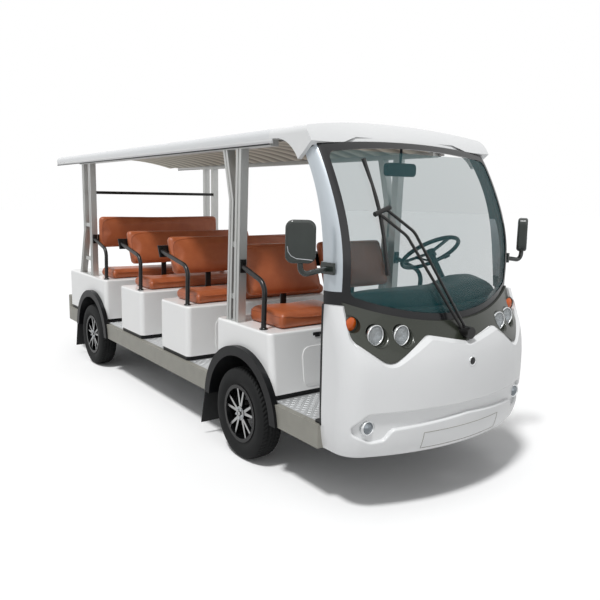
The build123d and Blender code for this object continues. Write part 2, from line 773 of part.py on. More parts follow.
arches = []
for _, axle_x in AXLES:
    liner = across(ARCH_R + ARCH_LINER_T, axle_x, TYRE_R, (-ARCH_LIP_Y, -WHEELHOUSE_Y))
    lip = across(ARCH_LIP_R, axle_x, TYRE_R, (-ARCH_LIP_Y, -BOX_HALF_W - SEAT_GAP))
    inner = across(ARCH_R, axle_x, TYRE_R, (WIDE_Y[0], 0))
    arch = (liner + lip) - inner
    arch_x = (axle_x - 2 * ARCH_R, axle_x + 2 * ARCH_R)
    arch &= block(arch_x, (WIDE_Y[0], 0), (SILL_BOTTOM, BOX_TOP))
    arches += both(arch)
save("wheel_arches", *arches)

# Seat boxes on dark plinths

box_front = {row: front for row, front, _, _ in BOX_TABLE}
box_rear = {row: front - depth for row, front, depth, _ in BOX_TABLE}


def box_form(row, front, depth, slope, inset, foot, top):
    """A seat box's filled form: side-view outline carried across, with rounded upright corners."""
    rear = front - depth
    outline = (
        (rear + inset, foot),
        (front + slope - inset, foot),
        (front - inset, top),
        (rear + inset, top),
    )
    form = side_prism(outline, (-BOX_HALF_W + inset, BOX_HALF_W - inset))
    tall = [e for e in form.edges() if abs(e.tangent_at(0.5).Z) > 0.8]
    return fillet(tall, BOX_CORNER_R - inset)


hatch_h = HATCH_Z[1] - HATCH_Z[0]
hatch_face = RectangleRounded(2 * HATCH_HALF_W, hatch_h, HATCH_R)
hatch = Pos(0, 0, sum(HATCH_Z) / 2) * extrude(Plane.YZ * hatch_face, amount=BOX_CORNER_R + HATCH_RISE, both=True)
plinths = []
boxes = {}
for row, front, depth, slope in BOX_TABLE:
    shape = box_form(row, front, depth, slope, 0, BOX_FOOT, BOX_TOP)
    rim = shape.faces().sort_by(Axis.Z)[-1].edges()
    shape = fillet(rim, BOX_TOP_R)
    shape -= box_form(row, front, depth, slope, BOX_WALL, FLOOR_Z, BOX_TOP - BOX_WALL)
    plinth = box_form(row, front + slope, depth + slope, 0, PLINTH_INSET, FLOOR_Z, BOX_FOOT)
    plinth -= box_form(
        row, front + slope, depth + slope, 0, PLINTH_INSET + PLINTH_T, SILL_BOTTOM, BOX_TOP
    )
    if row in HATCH_ROWS:
        plate = box_form(row, front, depth, slope, -HATCH_RISE, BOX_FOOT, BOX_TOP)
        plate -= box_form(row, front, depth, slope, HATCH_ROOT, BOX_FOOT, BOX_TOP)
        shape += plate & (Pos(front, 0, 0) * hatch)
    boxes[row] = cut_all(shape, wheelhouse_cuts)
    plinths.append(cut_all(plinth, wheelhouse_cuts))
save("front_seat_box", boxes[1])
save("middle_seat_boxes", boxes[2], boxes[3])
save("rear_body", boxes[4])
save("box_plinths", *plinths)

# Seats: cushions on the boxes, backs carried by bent flat posts and a cross bar


def padded(outline, y, radius):
    """A cushion's plain form with rounded edges."""
    form = side_prism(outline, y)
    return fillet(form.edges(), radius)


cushions = []
backs = []
for row, setback, depth, height, back_x, back_z, back_top, lean, spans in SEAT_TABLE:
    front = box_front[row] - setback
    low = BOX_TOP + SEAT_GAP
    seat = ((front - depth, low), (front, low), (front, low + height), (front - depth, low + height))
    cushions += [padded(seat, y, CUSHION_R) for y in spans]
    foot_x = box_front[row] - back_x
    back = (
        (foot_x - BACK_T, back_z),
        (foot_x, back_z),
        (foot_x - lean, back_top),
        (foot_x - lean - BACK_T, back_top),
    )
    backs += [padded(back, y, BACK_R) for y in spans]
save("seat_cushions", *cushions)
save("seat_backs", *backs)


def bar_x(row_data, z):
    """Front face of the cross bar behind a seat back, at a height."""
    row, back_x, back_z, back_top, lean = (row_data[i] for i in (0, 4, 5, 6, 7))
    slope = lean / (back_top - back_z)
    return box_front[row] - back_x - BACK_T - SEAT_GAP - slope * (z - back_z)


frames = []
for data in SEAT_TABLE:
    row, back_z, spans = data[0], data[5], data[8]
    reach = POST_Y[0] if row == 4 else (POST_Y[1] if row > 1 else spans[-1][1])
    z_low, z_high = GRAB_TOP_Z - SEAT_BAR_H, GRAB_TOP_Z + SEAT_BAR_H
    face = [(bar_x(data, z), z) for z in (z_low, z_high)]
    bar = side_prism(strip([(x - SEAT_BAR_T, z) for x, z in face], SEAT_BAR_T), (-reach, reach))
    if row < 4:
        knee = bar_x(data, back_z)
        line = ((knee, BOX_TOP), (knee, back_z), (bar_x(data, z_high), z_high))
        outline = strip([(x - SEAT_BAR_T, z) for x, z in line], SEAT_BAR_T)
        for y in (-SEAT_POST_Y, SEAT_POST_Y):
            bar += side_prism(outline, (y - SEAT_POST_W / 2, y + SEAT_POST_W / 2))
    frames.append(bar)
save("seat_frames", *frames)

# Grab rails: a foot flange, one bend and a top plate against a post or a seat's cross bar

rails = []
seat_data = {data[0]: data for data in SEAT_TABLE}


def grab_seat(row, z):
    """X of the face that a grab rail's top plate lies on, at a height."""
    if row == 1:
        share = (z - BOX_TOP) / (POST_TOP - BOX_TOP)
        return B_FRONT_X[0] + share * (B_FRONT_X[1] - B_FRONT_X[0]) + POST_W + SEAT_GAP
    if row == 4:
        return D_FRONT_X[0] + POST_W + SEAT_GAP
    return bar_x(seat_data[row], z) + SEAT_GAP


for row, foot_back in GRAB_FEET:
    foot_x = box_front[row] - foot_back
    plate_t, plate_w, plate_h = GRAB_PLATE
    ends = [(grab_seat(row, z), z) for z in (GRAB_TOP_Z - plate_h / 2, GRAB_TOP_Z + plate_h / 2)]
    plate = side_prism(strip(ends, plate_t), (-GRAB_Y - plate_w / 2, -GRAB_Y + plate_w / 2))
    behind = [(grab_seat(row, z) - GRAB_TRIM, z) for z in (BOX_TOP, POST_TIE_Z[1])]
    points = [
        (foot_x, -GRAB_Y, BOX_TOP + GRAB_FOOT_T / 2),
        (foot_x + GRAB_LEAN, -GRAB_Y, GRAB_BEND_Z),
        (grab_seat(row, GRAB_TOP_Z) - plate_t, -GRAB_Y, GRAB_TOP_Z),
    ]
    foot = upright(GRAB_FOOT_R, foot_x, -GRAB_Y, (BOX_TOP, BOX_TOP + GRAB_FOOT_T))
    tube = bent_tube(points, GRAB_BEND_R, GRAB_R) - side_prism(strip(behind, GRAB_TRIM), WIDE_Y)
    rails.append(tube + foot + plate)
save("grab_rails_right", *rails)
save("grab_rails_left", *[mirror(rail, about=Plane.XZ) for rail in rails])

# Floor deck, sills and chassis

deck = block((TAIL_PANEL_X, STEP_FRONT_X), (-SILL_Y[0], SILL_Y[0]), (RAIL_Z[1], FLOOR_Z))
deck += block((0, STEP_FRONT_X + DECK_TOE), (-DECK_TOE_HALF_W, DECK_TOE_HALF_W), (RAIL_Z[1], FLOOR_Z))
save("floor_deck", cut_all(deck, wheelhouse_cuts))

sill = block((TAIL_PANEL_X, STEP_FRONT_X), SILL_Y, (SILL_BOTTOM, FLOOR_Z))
save("side_sills", *both(cut_all(sill, lip_cuts)))

rail = block(RAIL_X, RAIL_Y, RAIL_Z)
rail -= block(
    RAIL_X,
    (RAIL_Y[0] + RAIL_WALL, RAIL_Y[1] - RAIL_WALL),
    (RAIL_Z[0] + RAIL_WALL, RAIL_Z[1] - RAIL_WALL),
)
for x in JACK_X:
    pad_x = (x - JACK_HALF_L, x + JACK_HALF_L)
    rail += block(pad_x, RAIL_Y, (RAIL_Z[0] - JACK_PAD_T, RAIL_Z[0]))
save("chassis_rails", *both(rail))
cross = []
for x in CROSS_X:
    span = (x - CROSS_W / 2, x + CROSS_W / 2)
    cross.append(block(span, (-RAIL_Y[0], RAIL_Y[0]), RAIL_Z))
    clear_of_wheels = min(abs(x - axle_x) for _, axle_x in AXLES) > ARCH_LIP_R
    if clear_of_wheels and x < STEP_FRONT_X:
        cross += both(block(span, (RAIL_Y[1], SILL_Y[0]), RAIL_Z))
save("cross_members", *cross)

# Springs, axles and steering


def leaf_spring(axle_x, tube_r):
    """A bowed leaf pack under the axle tube with a rolled eye at each end."""
    radius = (SPRING_HALF_L**2 + SPRING_RISE**2) / (2 * SPRING_RISE)
    top = TYRE_R - tube_r - SPRING_DROP
    centre_z = top - SPRING_T / 2 + radius
    upper, lower = radius - SPRING_T / 2, radius + SPRING_T / 2
    turn = math.asin(SPRING_HALF_L / radius)

    def at(r, angle):
        return Vector(axle_x + r * math.sin(angle), RAIL_Y[0], centre_z - r * math.cos(angle))

    wire = Wire(
        [
            Edge.make_three_point_arc(at(upper, -turn), at(upper, 0), at(upper, turn)),
            Edge.make_line(at(upper, turn), at(lower, turn)),
            Edge.make_three_point_arc(at(lower, turn), at(lower, 0), at(lower, -turn)),
            Edge.make_line(at(lower, -turn), at(upper, -turn)),
        ]
    )
    pack = extrude(Face(wire), amount=RAIL_Y[1] - RAIL_Y[0], dir=(0, 1, 0))
    eye_z = at(radius, turn).Z
    for side in (-1, 1):
        x = axle_x + side * SPRING_HALF_L
        pack += across(SPRING_EYE_R, x, eye_z, RAIL_Y)
        pack += block((x - SHACKLE_HALF_W, x + SHACKLE_HALF_W), RAIL_Y, (eye_z, RAIL_Z[0]))
    return pack


springs = []
for (_, axle_x), tube_r in zip(AXLES, (AXLE_TUBE_R, REAR_TUBE_R)):
    springs += both(leaf_spring(axle_x, tube_r))
save("leaf_springs", *springs)


def spring_pads(axle_x, tube_r):
    """Saddles that seat an axle tube on its two springs."""
    foot = TYRE_R - tube_r - SPRING_DROP + SEAT_GAP
    pad = block((axle_x - SADDLE_HALF_L, axle_x + SADDLE_HALF_L), RAIL_Y, (foot, TYRE_R))
    return both(pad)


beam_end = KINGPIN_Y - FORK_SETBACK
beam = across(AXLE_TUBE_R, FRONT_AXLE_X, TYRE_R, (-beam_end, beam_end))
for pad in spring_pads(FRONT_AXLE_X, AXLE_TUBE_R):
    beam += pad
fork_z = KNUCKLE_HALF_H + SEAT_GAP
fork = block(
    (FRONT_AXLE_X - FORK_HALF_W, FRONT_AXLE_X + FORK_HALF_W),
    (beam_end - FORK_T, beam_end),
    (TYRE_R - fork_z - EAR_T, TYRE_R + fork_z + EAR_T),
)
for side in (-1, 1):
    ear = tuple(sorted((TYRE_R + side * fork_z, TYRE_R + side * (fork_z + EAR_T))))
    fork += upright(EAR_R, FRONT_AXLE_X, KINGPIN_Y, ear)
    fork += block((FRONT_AXLE_X - FORK_HALF_W, FRONT_AXLE_X + FORK_HALF_W), (beam_end - FORK_T, KINGPIN_Y), ear)
pin_z = (TYRE_R - fork_z - EAR_T, TYRE_R + fork_z + EAR_T)
fork += upright(KINGPIN_R, FRONT_AXLE_X, KINGPIN_Y, pin_z)
for half in both(fork):
    beam += half
save("front_axle", beam)

# The steering arms point straight back, so that the tie rod stays square to the vehicle
TIE_X = FRONT_AXLE_X - STEER_ARM_REACH
TIE_Y = KINGPIN_Y
SPINDLE_TIP = TRACK / 2 + HUB_Y[1] - HUB_CAP_T - SPINDLE_END_GAP
knuckle = upright(KNUCKLE_R, FRONT_AXLE_X, KINGPIN_Y, (TYRE_R - KNUCKLE_HALF_H, TYRE_R + KNUCKLE_HALF_H))
knuckle += across(SPINDLE_R, FRONT_AXLE_X, TYRE_R, (KINGPIN_Y, SPINDLE_TIP))
knuckle += across(COLLAR_R, FRONT_AXLE_X, TYRE_R, (KINGPIN_Y, KINGPIN_Y + COLLAR_L))
arm_y = (KINGPIN_Y - STEER_ARM_W / 2, KINGPIN_Y + STEER_ARM_W / 2)
knuckle += block((TIE_X, FRONT_AXLE_X), arm_y, STEER_ARM_Z)
knuckle += upright(TIE_EYE_R, TIE_X, TIE_Y, STEER_ARM_Z)
knuckle += upright(TIE_PIN_R, TIE_X, TIE_Y, (TIE_EYE_FOOT, STEER_ARM_Z[1]))
knuckle -= upright(KINGPIN_R + RUNNING_GAP, FRONT_AXLE_X, KINGPIN_Y, THROUGH_Z)
left_knuckle, right_knuckle = both(knuckle)
save("knuckle_left", left_knuckle)
save("knuckle_right", right_knuckle)

eye_top = STEER_ARM_Z[0] - SEAT_GAP
rod_end = TIE_Y - (TIE_EYE_R + TIE_PIN_R) / 2
tie_rod = across(TIE_ROD_R, TIE_X, TIE_ROD_Z, (-rod_end, rod_end))
for side in (-1, 1):
    tie_rod += upright(TIE_EYE_R, TIE_X, side * TIE_Y, (TIE_EYE_FOOT, eye_top))
    tie_rod -= upright(TIE_PIN_R + TIE_PIN_GAP, TIE_X, side * TIE_Y, THROUGH_Z)
save("tie_rod", tie_rod)

rear_axle = across(REAR_TUBE_R, REAR_AXLE_X, TYRE_R, (-REAR_TUBE_Y, REAR_TUBE_Y))
rear_axle += across(SPINDLE_R, REAR_AXLE_X, TYRE_R, (-SPINDLE_TIP, SPINDLE_TIP))
rear_axle += Pos(REAR_AXLE_X, 0, TYRE_R) * Sphere(DIFF_R)
rear_axle += across(MOTOR_R, REAR_AXLE_X + MOTOR_AHEAD, TYRE_R, MOTOR_Y)
neck_y, neck_z = MOTOR_NECK
rear_axle += block(
    (REAR_AXLE_X, REAR_AXLE_X + MOTOR_AHEAD), (-neck_y, neck_y), (TYRE_R - neck_z, TYRE_R + neck_z)
)
for pad in spring_pads(REAR_AXLE_X, REAR_TUBE_R):
    rear_axle += pad
save("rear_axle", rear_axle)

# Wheels, drawn at the left front and carried to the four corners


def ring(points, arcs):
    """Turn a closed (y, radius) outline about the wheel's axle; arcs maps an edge to its mid point."""
    edges = []
    for i, start in enumerate(points):
        end = points[(i + 1) % len(points)]
        at = [Vector(0, p[0], p[1]) for p in (start, arcs.get(i, start), end)]
        edges.append(Edge.make_three_point_arc(*at) if i in arcs else Edge.make_line(at[0], at[2]))
    return revolve(Face(Wire(edges)), axis=Axis.Y, revolution_arc=360)


half_w = TYRE_WIDTH / 2
bead_y = RIM_FLANGE_Y - RIM_FLANGE_T - SEAT_GAP
tyre_outline = [
    (-bead_y, BEAD_R),
    (-bead_y, RIM_FLANGE_R + 1),
    (-half_w + SHOULDER[0], TYRE_R - SHOULDER[1]),
    (-half_w + TREAD_EDGE[0], TYRE_R - TREAD_EDGE[1]),
    (half_w - TREAD_EDGE[0], TYRE_R - TREAD_EDGE[1]),
    (half_w - SHOULDER[0], TYRE_R - SHOULDER[1]),
    (bead_y, RIM_FLANGE_R + 1),
    (bead_y, BEAD_R),
]
tyre = ring(
    tyre_outline,
    {1: (-half_w, SIDEWALL_R), 3: (0, TYRE_R), 5: (half_w, SIDEWALL_R)},
)

rim_r = BEAD_R - SEAT_GAP
rim_inner = rim_r - RIM_BARREL_T
rim = ring(
    [
        (-RIM_FLANGE_Y, rim_inner),
        (-RIM_FLANGE_Y, RIM_FLANGE_R),
        (-RIM_FLANGE_Y + RIM_FLANGE_T, RIM_FLANGE_R),
        (-RIM_FLANGE_Y + RIM_FLANGE_T, rim_r),
        (RIM_FLANGE_Y - RIM_FLANGE_T, rim_r),
        (RIM_FLANGE_Y - RIM_FLANGE_T, RIM_FLANGE_R),
        (RIM_FLANGE_Y, RIM_FLANGE_R),
        (RIM_FLANGE_Y, rim_inner),
    ],
    {},
)
rim += across(HUB_R, 0, 0, HUB_Y)
for pair in range(SPOKE_PAIRS):
    for side in (-1, 1):
        angle = math.radians(90 + pair * 360 / SPOKE_PAIRS)
        lean = math.radians(SPOKE_SPREAD * side)
        corners = (
            (HUB_R - SPOKE_ROOT_SINK, -SPOKE_ROOT_W / 2, SPOKE_ROOT_SHARE),
            (rim_inner + SPOKE_TIP_SINK, -SPOKE_TIP_W / 2, 1),
            (rim_inner + SPOKE_TIP_SINK, SPOKE_TIP_W / 2, 1),
            (HUB_R - SPOKE_ROOT_SINK, SPOKE_ROOT_W / 2, SPOKE_ROOT_SHARE),
        )
        outline = []
        for radius, offset, share in corners:
            turn = angle + lean * share
            x = radius * math.cos(turn) - offset * math.sin(turn)
            z = radius * math.sin(turn) + offset * math.cos(turn)
            outline.append((x, z))
        rim += side_prism(outline, SPOKE_Y)
rim -= across(SPINDLE_R + RUNNING_GAP, 0, 0, (-TYRE_WIDTH, HUB_Y[1] - HUB_CAP_T))

CORNERS = (
    ("front_left", FRONT_AXLE_X, 1),
    ("front_right", FRONT_AXLE_X, -1),
    ("rear_left", REAR_AXLE_X, 1),
    ("rear_right", REAR_AXLE_X, -1),
)
for corner, axle_x, side in CORNERS:
    place = Pos(axle_x, side * TRACK / 2, TYRE_R)
    turn = Rot(0, 0, 0 if side > 0 else 180)
    save(f"tyre_{corner}", place * turn * tyre)
    save(f"rim_{corner}", place * turn * rim)

# Mud flaps behind each wheel

flaps = []
for _, axle_x in AXLES:
    top = (axle_x - ARCH_LIP_R - FLAP_GAP, SILL_BOTTOM)
    line = ((top[0] - FLAP_LEAN, FLAP_FOOT_Z), top)
    flaps += both(side_prism(strip(line, FLAP_T), FLAP_Y))
save("mud_flaps", *flaps)

# Cab: dash, steering column, steering wheel, mirrors and wiper

dash = side_prism(DASH_SIDE, (-DASH_HALF_W, DASH_HALF_W))
hood = Pos(*BINNACLE) * (Sphere(HOOD_R) & block(HOOD_X, (-HOOD_HALF_W, HOOD_HALF_W), HOOD_Z))
for rows in (COWL_SECTIONS, MASK_SECTIONS, UPPER_SECTIONS):
    dash_room = shell_solid(rows, SHELL_T + SEAT_GAP, open_rear=SHELL_OPEN, open_ends=SHELL_T)
    dash &= dash_room
dash += hood & dash_room

tilt = math.radians(WHEEL_TILT)
axis_dir = Vector(-math.sin(tilt), 0, math.cos(tilt))
hub = Vector(*WHEEL_HUB)
column_top = hub - axis_dir * (WHEEL_BOSS_LOW + SEAT_GAP)
column_knee = hub - axis_dir * COLUMN_STRAIGHT


def bar_between(start, end, radius):
    """A round bar from one point to another."""
    way = end - start
    return Plane(origin=start, z_dir=way) * Cylinder(
        radius, way.length, align=(Align.CENTER, Align.CENTER, Align.MIN)
    )


column_points = [column_top, column_knee, COLUMN_FOOT, (*COLUMN_FOOT[:2], FLOOR_Z)]
column = bent_tube(column_points, COLUMN_BEND_R, COLUMN_R)
save("steering_column", column)
save("dash", dash - column)

wheel_plane = Plane(origin=hub, x_dir=(0, 1, 0), z_dir=axis_dir)
steering = Torus(WHEEL_RIM_R, WHEEL_TUBE_R)
steering += upright(WHEEL_BOSS_R, 0, 0, (-WHEEL_BOSS_LOW, WHEEL_BOSS_TOP))
for angle in WHEEL_SPOKE_ANGLES:
    spoke = Pos(WHEEL_RIM_R / 2, 0, 0) * Box(WHEEL_RIM_R, *WHEEL_SPOKE)
    steering += Rot(0, 0, angle) * spoke
save("steering_wheel", wheel_plane * steering)

head = Box(*MIRROR_SIZE)
head = fillet(head.edges().filter_by(Axis.X), MIRROR_CORNER_R)
head = fillet(head.edges(), MIRROR_EDGE_R)
head = Pos(*MIRROR_AT) * Rot(0, 0, MIRROR_TOE) * head
root = Vector(*MIRROR_ROOT)
under_head = Vector(*MIRROR_AT) - Vector(0, 0, MIRROR_SIZE[2] / 2 + MIRROR_ARM_LOW)
into_head = Vector(*MIRROR_AT) - Vector(0, 0, MIRROR_SIZE[2] / 4)
arm = bent_tube([root, under_head, into_head], MIRROR_ARM_BEND, MIRROR_ARM_R)
bracket = Pos(*root) * Box(*MIRROR_BRACKET, align=(Align.CENTER, Align.MAX, Align.CENTER))
door_mirror = (head + arm + bracket) - shell_solid(UPPER_SECTIONS, -SEAT_GAP)
save("door_mirrors", *both(door_mirror))

inner = Pos(*INNER_MIRROR) * Box(*INNER_SIZE)
inner = fillet(inner.edges().filter_by(Axis.X), INNER_R)
inner += bar_between(Vector(*INNER_MIRROR), Vector(*INNER_STEM_TOP), INNER_STEM_R)
save("inner_mirror", inner - roof_cap)


def on_screen(y, z):
    return Vector(front_x(UPPER_SECTIONS, y, z) + WIPER_CLEAR, y, z)


base = Vector(*WIPER_BASE)
joint = on_screen(*WIPER_JOINT)
elbow = on_screen(*WIPER_ELBOW) + Vector(WIPER_LIFT, 0, 0)
wiper = Pos(*base) * Rot(0, 90, 0) * Cylinder(WIPER_BOSS_R, WIPER_BOSS_L)
link_ends = [joint + Vector(0, y, y * WIPER_LINK_SLOPE) for y in WIPER_LINK_Y]
wiper += bar_between(*link_ends, WIPER_LINK_R)
for y in WIPER_ARM_Y:
    shift = Vector(0, y, y * WIPER_LINK_SLOPE)
    wiper += bent_tube([base + shift * WIPER_ARM_CLOSE, elbow + shift, joint + shift], WIPER_BEND_R, WIPER_R)
blade_top, blade_foot = (on_screen(*end) for end in WIPER_BLADE)
wiper += bent_tube([blade_top, joint, blade_foot], WIPER_BLADE_BEND, WIPER_R)
save("wiper", wiper - shell_solid(MASK_SECTIONS, -SEAT_GAP) - shell_solid(UPPER_SECTIONS, -SEAT_GAP))

# Tail: bumper, lamps, towing eye; batteries inside two seat boxes

bumper = block(BUMPER_X, (-BUMPER_HALF_W, BUMPER_HALF_W), BUMPER_Z)
bumper = fillet(bumper.edges().filter_by(Axis.Z), BUMPER_R)
save("rear_bumper", bumper)
lamp_box = block((TAIL_PANEL_X - TAIL_LAMP_T, TAIL_PANEL_X - SEAT_GAP), TAIL_LAMP_Y, TAIL_LAMP_Z)
save("tail_lamps", *both(fillet(lamp_box.edges().filter_by(Axis.X), TAIL_LAMP_R)))
eye_x = BUMPER_X[0] - TOW_REACH
eye_z = (TOW_EYE_Z, TOW_EYE_Z + TOW_EYE_T)
tongue = block((eye_x, BUMPER_X[0]), (-TOW_TONGUE_R, TOW_TONGUE_R), eye_z)
tongue += upright(TOW_TONGUE_R, eye_x, 0, eye_z)
tongue -= upright(TOW_EYE_R, eye_x, 0, THROUGH_Z)
save("tow_eye", tongue)

packs = []
for row, setback, depth in BATTERY_TABLE:
    far = box_front[row] - setback
    packs.append(
        block((far - depth, far), (-BATTERY_HALF_W, BATTERY_HALF_W), (FLOOR_Z, FLOOR_Z + BATTERY_H))
    )
save("battery_packs", *packs)
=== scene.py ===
"""Dress an open-sided electric shuttle bus: studio, chassis, wheels, floor, body, front, roof, seats and cab.

Metres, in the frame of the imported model: +X forwards, +Y to the vehicle's left, +Z up.
"""
import bmesh
import bpy
import json
import math
import numpy as np
from mathutils import Matrix, Vector


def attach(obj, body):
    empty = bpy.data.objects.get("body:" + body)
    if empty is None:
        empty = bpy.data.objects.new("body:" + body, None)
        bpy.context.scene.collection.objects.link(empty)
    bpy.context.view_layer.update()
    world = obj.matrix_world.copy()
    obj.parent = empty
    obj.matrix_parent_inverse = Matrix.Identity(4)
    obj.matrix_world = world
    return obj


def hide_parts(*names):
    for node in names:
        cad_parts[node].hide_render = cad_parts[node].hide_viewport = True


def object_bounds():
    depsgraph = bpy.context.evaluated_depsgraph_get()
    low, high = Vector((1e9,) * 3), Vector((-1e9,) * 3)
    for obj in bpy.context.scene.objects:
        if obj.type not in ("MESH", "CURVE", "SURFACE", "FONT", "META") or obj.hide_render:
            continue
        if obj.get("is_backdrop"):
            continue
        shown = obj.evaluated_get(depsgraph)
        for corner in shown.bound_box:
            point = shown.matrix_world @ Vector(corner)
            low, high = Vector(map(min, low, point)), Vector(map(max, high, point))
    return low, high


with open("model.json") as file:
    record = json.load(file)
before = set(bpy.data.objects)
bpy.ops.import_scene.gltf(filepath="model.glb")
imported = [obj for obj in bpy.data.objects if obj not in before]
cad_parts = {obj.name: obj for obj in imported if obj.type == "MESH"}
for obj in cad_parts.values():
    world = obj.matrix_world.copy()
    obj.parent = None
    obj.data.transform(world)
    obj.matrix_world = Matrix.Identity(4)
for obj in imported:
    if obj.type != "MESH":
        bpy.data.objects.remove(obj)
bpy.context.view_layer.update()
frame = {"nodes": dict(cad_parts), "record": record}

# Camera and studio
# A plain white paper floor under a pale sky, a high sun and two broad ones, seen from the
# vehicle's right front corner. The camera stands a little above the belt line with a normal lens.
EYE = Vector((4.7081, -2.7433, 1.6461))
LOOK_AZIMUTH, LOOK_DOWN, LOOK_ROLL = (math.radians(a) for a in (54.1309, 8.5827, 0.9532))
LENS_MM, SENSOR_MM = 38.83, 36
SHIFT = (0.005, -0.0085)
FLOOR_HALF, CLIP_END = 60.0, 200
SKY, SKY_STRENGTH = (0.97, 0.985, 1.0, 1), 0.28
PAPER_BOUNCE, PAPER_SEEN = (0.7, 0.7, 0.7, 1), (1.04, 1.04, 1.04, 1)
SUNS = (
    ("overhead", (0.1, -0.25, 1.0), 0.3, 70),
    ("key", (0.2, -0.44, 1.0), 2.1, 8),
    ("fill", (1.0, -0.35, 0.35), 0.38, 60),
)

ahead = Vector(
    (
        -math.sin(LOOK_AZIMUTH) * math.cos(LOOK_DOWN),
        math.cos(LOOK_AZIMUTH) * math.cos(LOOK_DOWN),
        -math.sin(LOOK_DOWN),
    )
)
level = ahead.cross(Vector((0, 0, 1))).normalized()
above = level.cross(ahead)
right = level * math.cos(LOOK_ROLL) + above * math.sin(LOOK_ROLL)
upward = above * math.cos(LOOK_ROLL) - level * math.sin(LOOK_ROLL)
camera = bpy.data.objects.new("camera", bpy.data.cameras.new("camera"))
camera.data.lens, camera.data.sensor_width = LENS_MM, SENSOR_MM
camera.data.shift_x, camera.data.shift_y = SHIFT
camera.data.clip_end = CLIP_END
camera.matrix_world = Matrix(
    [(right[i], upward[i], -ahead[i], EYE[i]) for i in range(3)] + [(0, 0, 0, 1)]
)
bpy.context.scene.collection.objects.link(camera)
bpy.context.scene.camera = camera
bpy.context.scene.view_settings.view_transform = "Standard"


def linear(code):
    """An sRGB hex colour as linear red, green, blue and full alpha."""
    parts = np.array([int(code[i : i + 2], 16) for i in (1, 3, 5)]) / 255
    low = parts / 12.92
    high = ((parts + 0.055) / 1.055) ** 2.4
    return (*np.where(parts <= 0.04045, low, high), 1.0)


def feed(node, links):
    """Feed a node's inputs from other nodes' first outputs, sockets, sRGB hex colours or plain values."""
    for name, value in links.items():
        if isinstance(value, bpy.types.Node):
            value = next(out for out in value.outputs if out.enabled)
        if isinstance(value, bpy.types.NodeSocket):
            node.id_data.links.new(value, node.inputs[name])
        else:
            node.inputs[name].default_value = linear(value) if isinstance(value, str) else value


def add(tree, kind, links=None, **settings):
    """Add one node of a kind, set its properties and feed it; textures take Object coordinates."""
    node = tree.nodes.new("ShaderNode" + kind)
    for name, value in settings.items():
        setattr(node, name, value)
    if kind.startswith("Tex") and "Vector" in node.inputs:
        feed(node, {"Vector": tree.nodes["Texture Coordinate"].outputs["Object"]})
    feed(node, links or {})
    return node


def empty_tree(owner):
    """The node tree of a material or world, switched on and emptied."""
    owner.use_nodes = True
    owner.node_tree.nodes.clear()
    return owner.node_tree


def new_material(name):
    """A material with coordinates for its patterns, its node tree, and its one Principled shader."""
    material = bpy.data.materials.new(name)
    tree = empty_tree(material)
    shader = add(tree, "BsdfPrincipled")
    add(tree, "OutputMaterial", {"Surface": shader})
    add(tree, "TexCoord")
    return material, tree, shader


world = bpy.data.worlds.new("studio")
sky = empty_tree(world)
rays = add(sky, "LightPath").outputs
seen = add(sky, "Math", {0: rays["Is Camera Ray"], 1: rays["Is Transmission Ray"]}, operation="MAXIMUM")
shown = add(sky, "Math", {0: seen, 1: rays["Is Glossy Ray"]}, operation="MAXIMUM")
soft = add(sky, "Background", {"Color": SKY, "Strength": SKY_STRENGTH})
plain = add(sky, "Background", {"Color": (1, 1, 1, 1), "Strength": 1.0})
both_skies = add(sky, "MixShader", {0: shown, 1: soft, 2: plain})
add(sky, "OutputWorld", {"Surface": both_skies})
bpy.context.scene.world = world

floor_mesh = bpy.data.meshes.new("floor")
corners = np.array([(-1, -1, 0), (1, -1, 0), (1, 1, 0), (-1, 1, 0)]) * FLOOR_HALF
floor_mesh.from_pydata(corners, [], [(0, 1, 2, 3)])
floor = bpy.data.objects.new("floor", floor_mesh)
bpy.context.scene.collection.objects.link(floor)

# Studio paper: matt white, brighter to the eye than to the things it lights
studio_paper = bpy.data.materials.new("studio_paper")
tree = empty_tree(studio_paper)
rays = add(tree, "LightPath").outputs
white = add(
    tree,
    "Mix",
    {"Factor": rays["Is Camera Ray"], "A": PAPER_BOUNCE, "B": PAPER_SEEN},
    data_type="RGBA",
)
add(tree, "OutputMaterial", {"Surface": add(tree, "BsdfDiffuse", {"Color": white})})
floor_mesh.materials.append(studio_paper)
floor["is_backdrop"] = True

for name, toward, strength, spread in SUNS:
    lamp = bpy.data.lights.new(name, "SUN")
    lamp.energy = strength
    lamp.angle = math.radians(spread)
    holder = bpy.data.objects.new(name, lamp)
    holder.rotation_euler = Vector(toward).to_track_quat("Z", "Y").to_euler()
    bpy.context.scene.collection.objects.link(holder)

# Chassis and axles
# Welded box rails, cross members and leaf springs in black chassis paint, cast axle parts
# and two moulded battery cases that stand inside the middle seat boxes.


def dress(name, material):
    """Give one CAD node, or every CAD node of one slot, its material."""
    for row in frame["record"]["subparts"]:
        if name in (row["node"], row["material_slot"]):
            frame["nodes"][row["node"]].data.materials[0] = material


# Brushed-on chassis paint: dull black with a slightly uneven gloss
chassis_paint, tree, shader = new_material("chassis_paint")
uneven = add(tree, "TexNoise", {"Scale": 1000 / 60, "Detail": 4})
gloss = add(tree, "MapRange", {"Value": uneven, "To Min": 0.38, "To Max": 0.62})
tint = add(tree, "Mix", {"Factor": uneven, "A": "#1A1B1C", "B": "#2A2B2B"}, data_type="RGBA")
feed(shader, {"Base Color": tint, "Roughness": gloss})
dress("chassis_steel", chassis_paint)

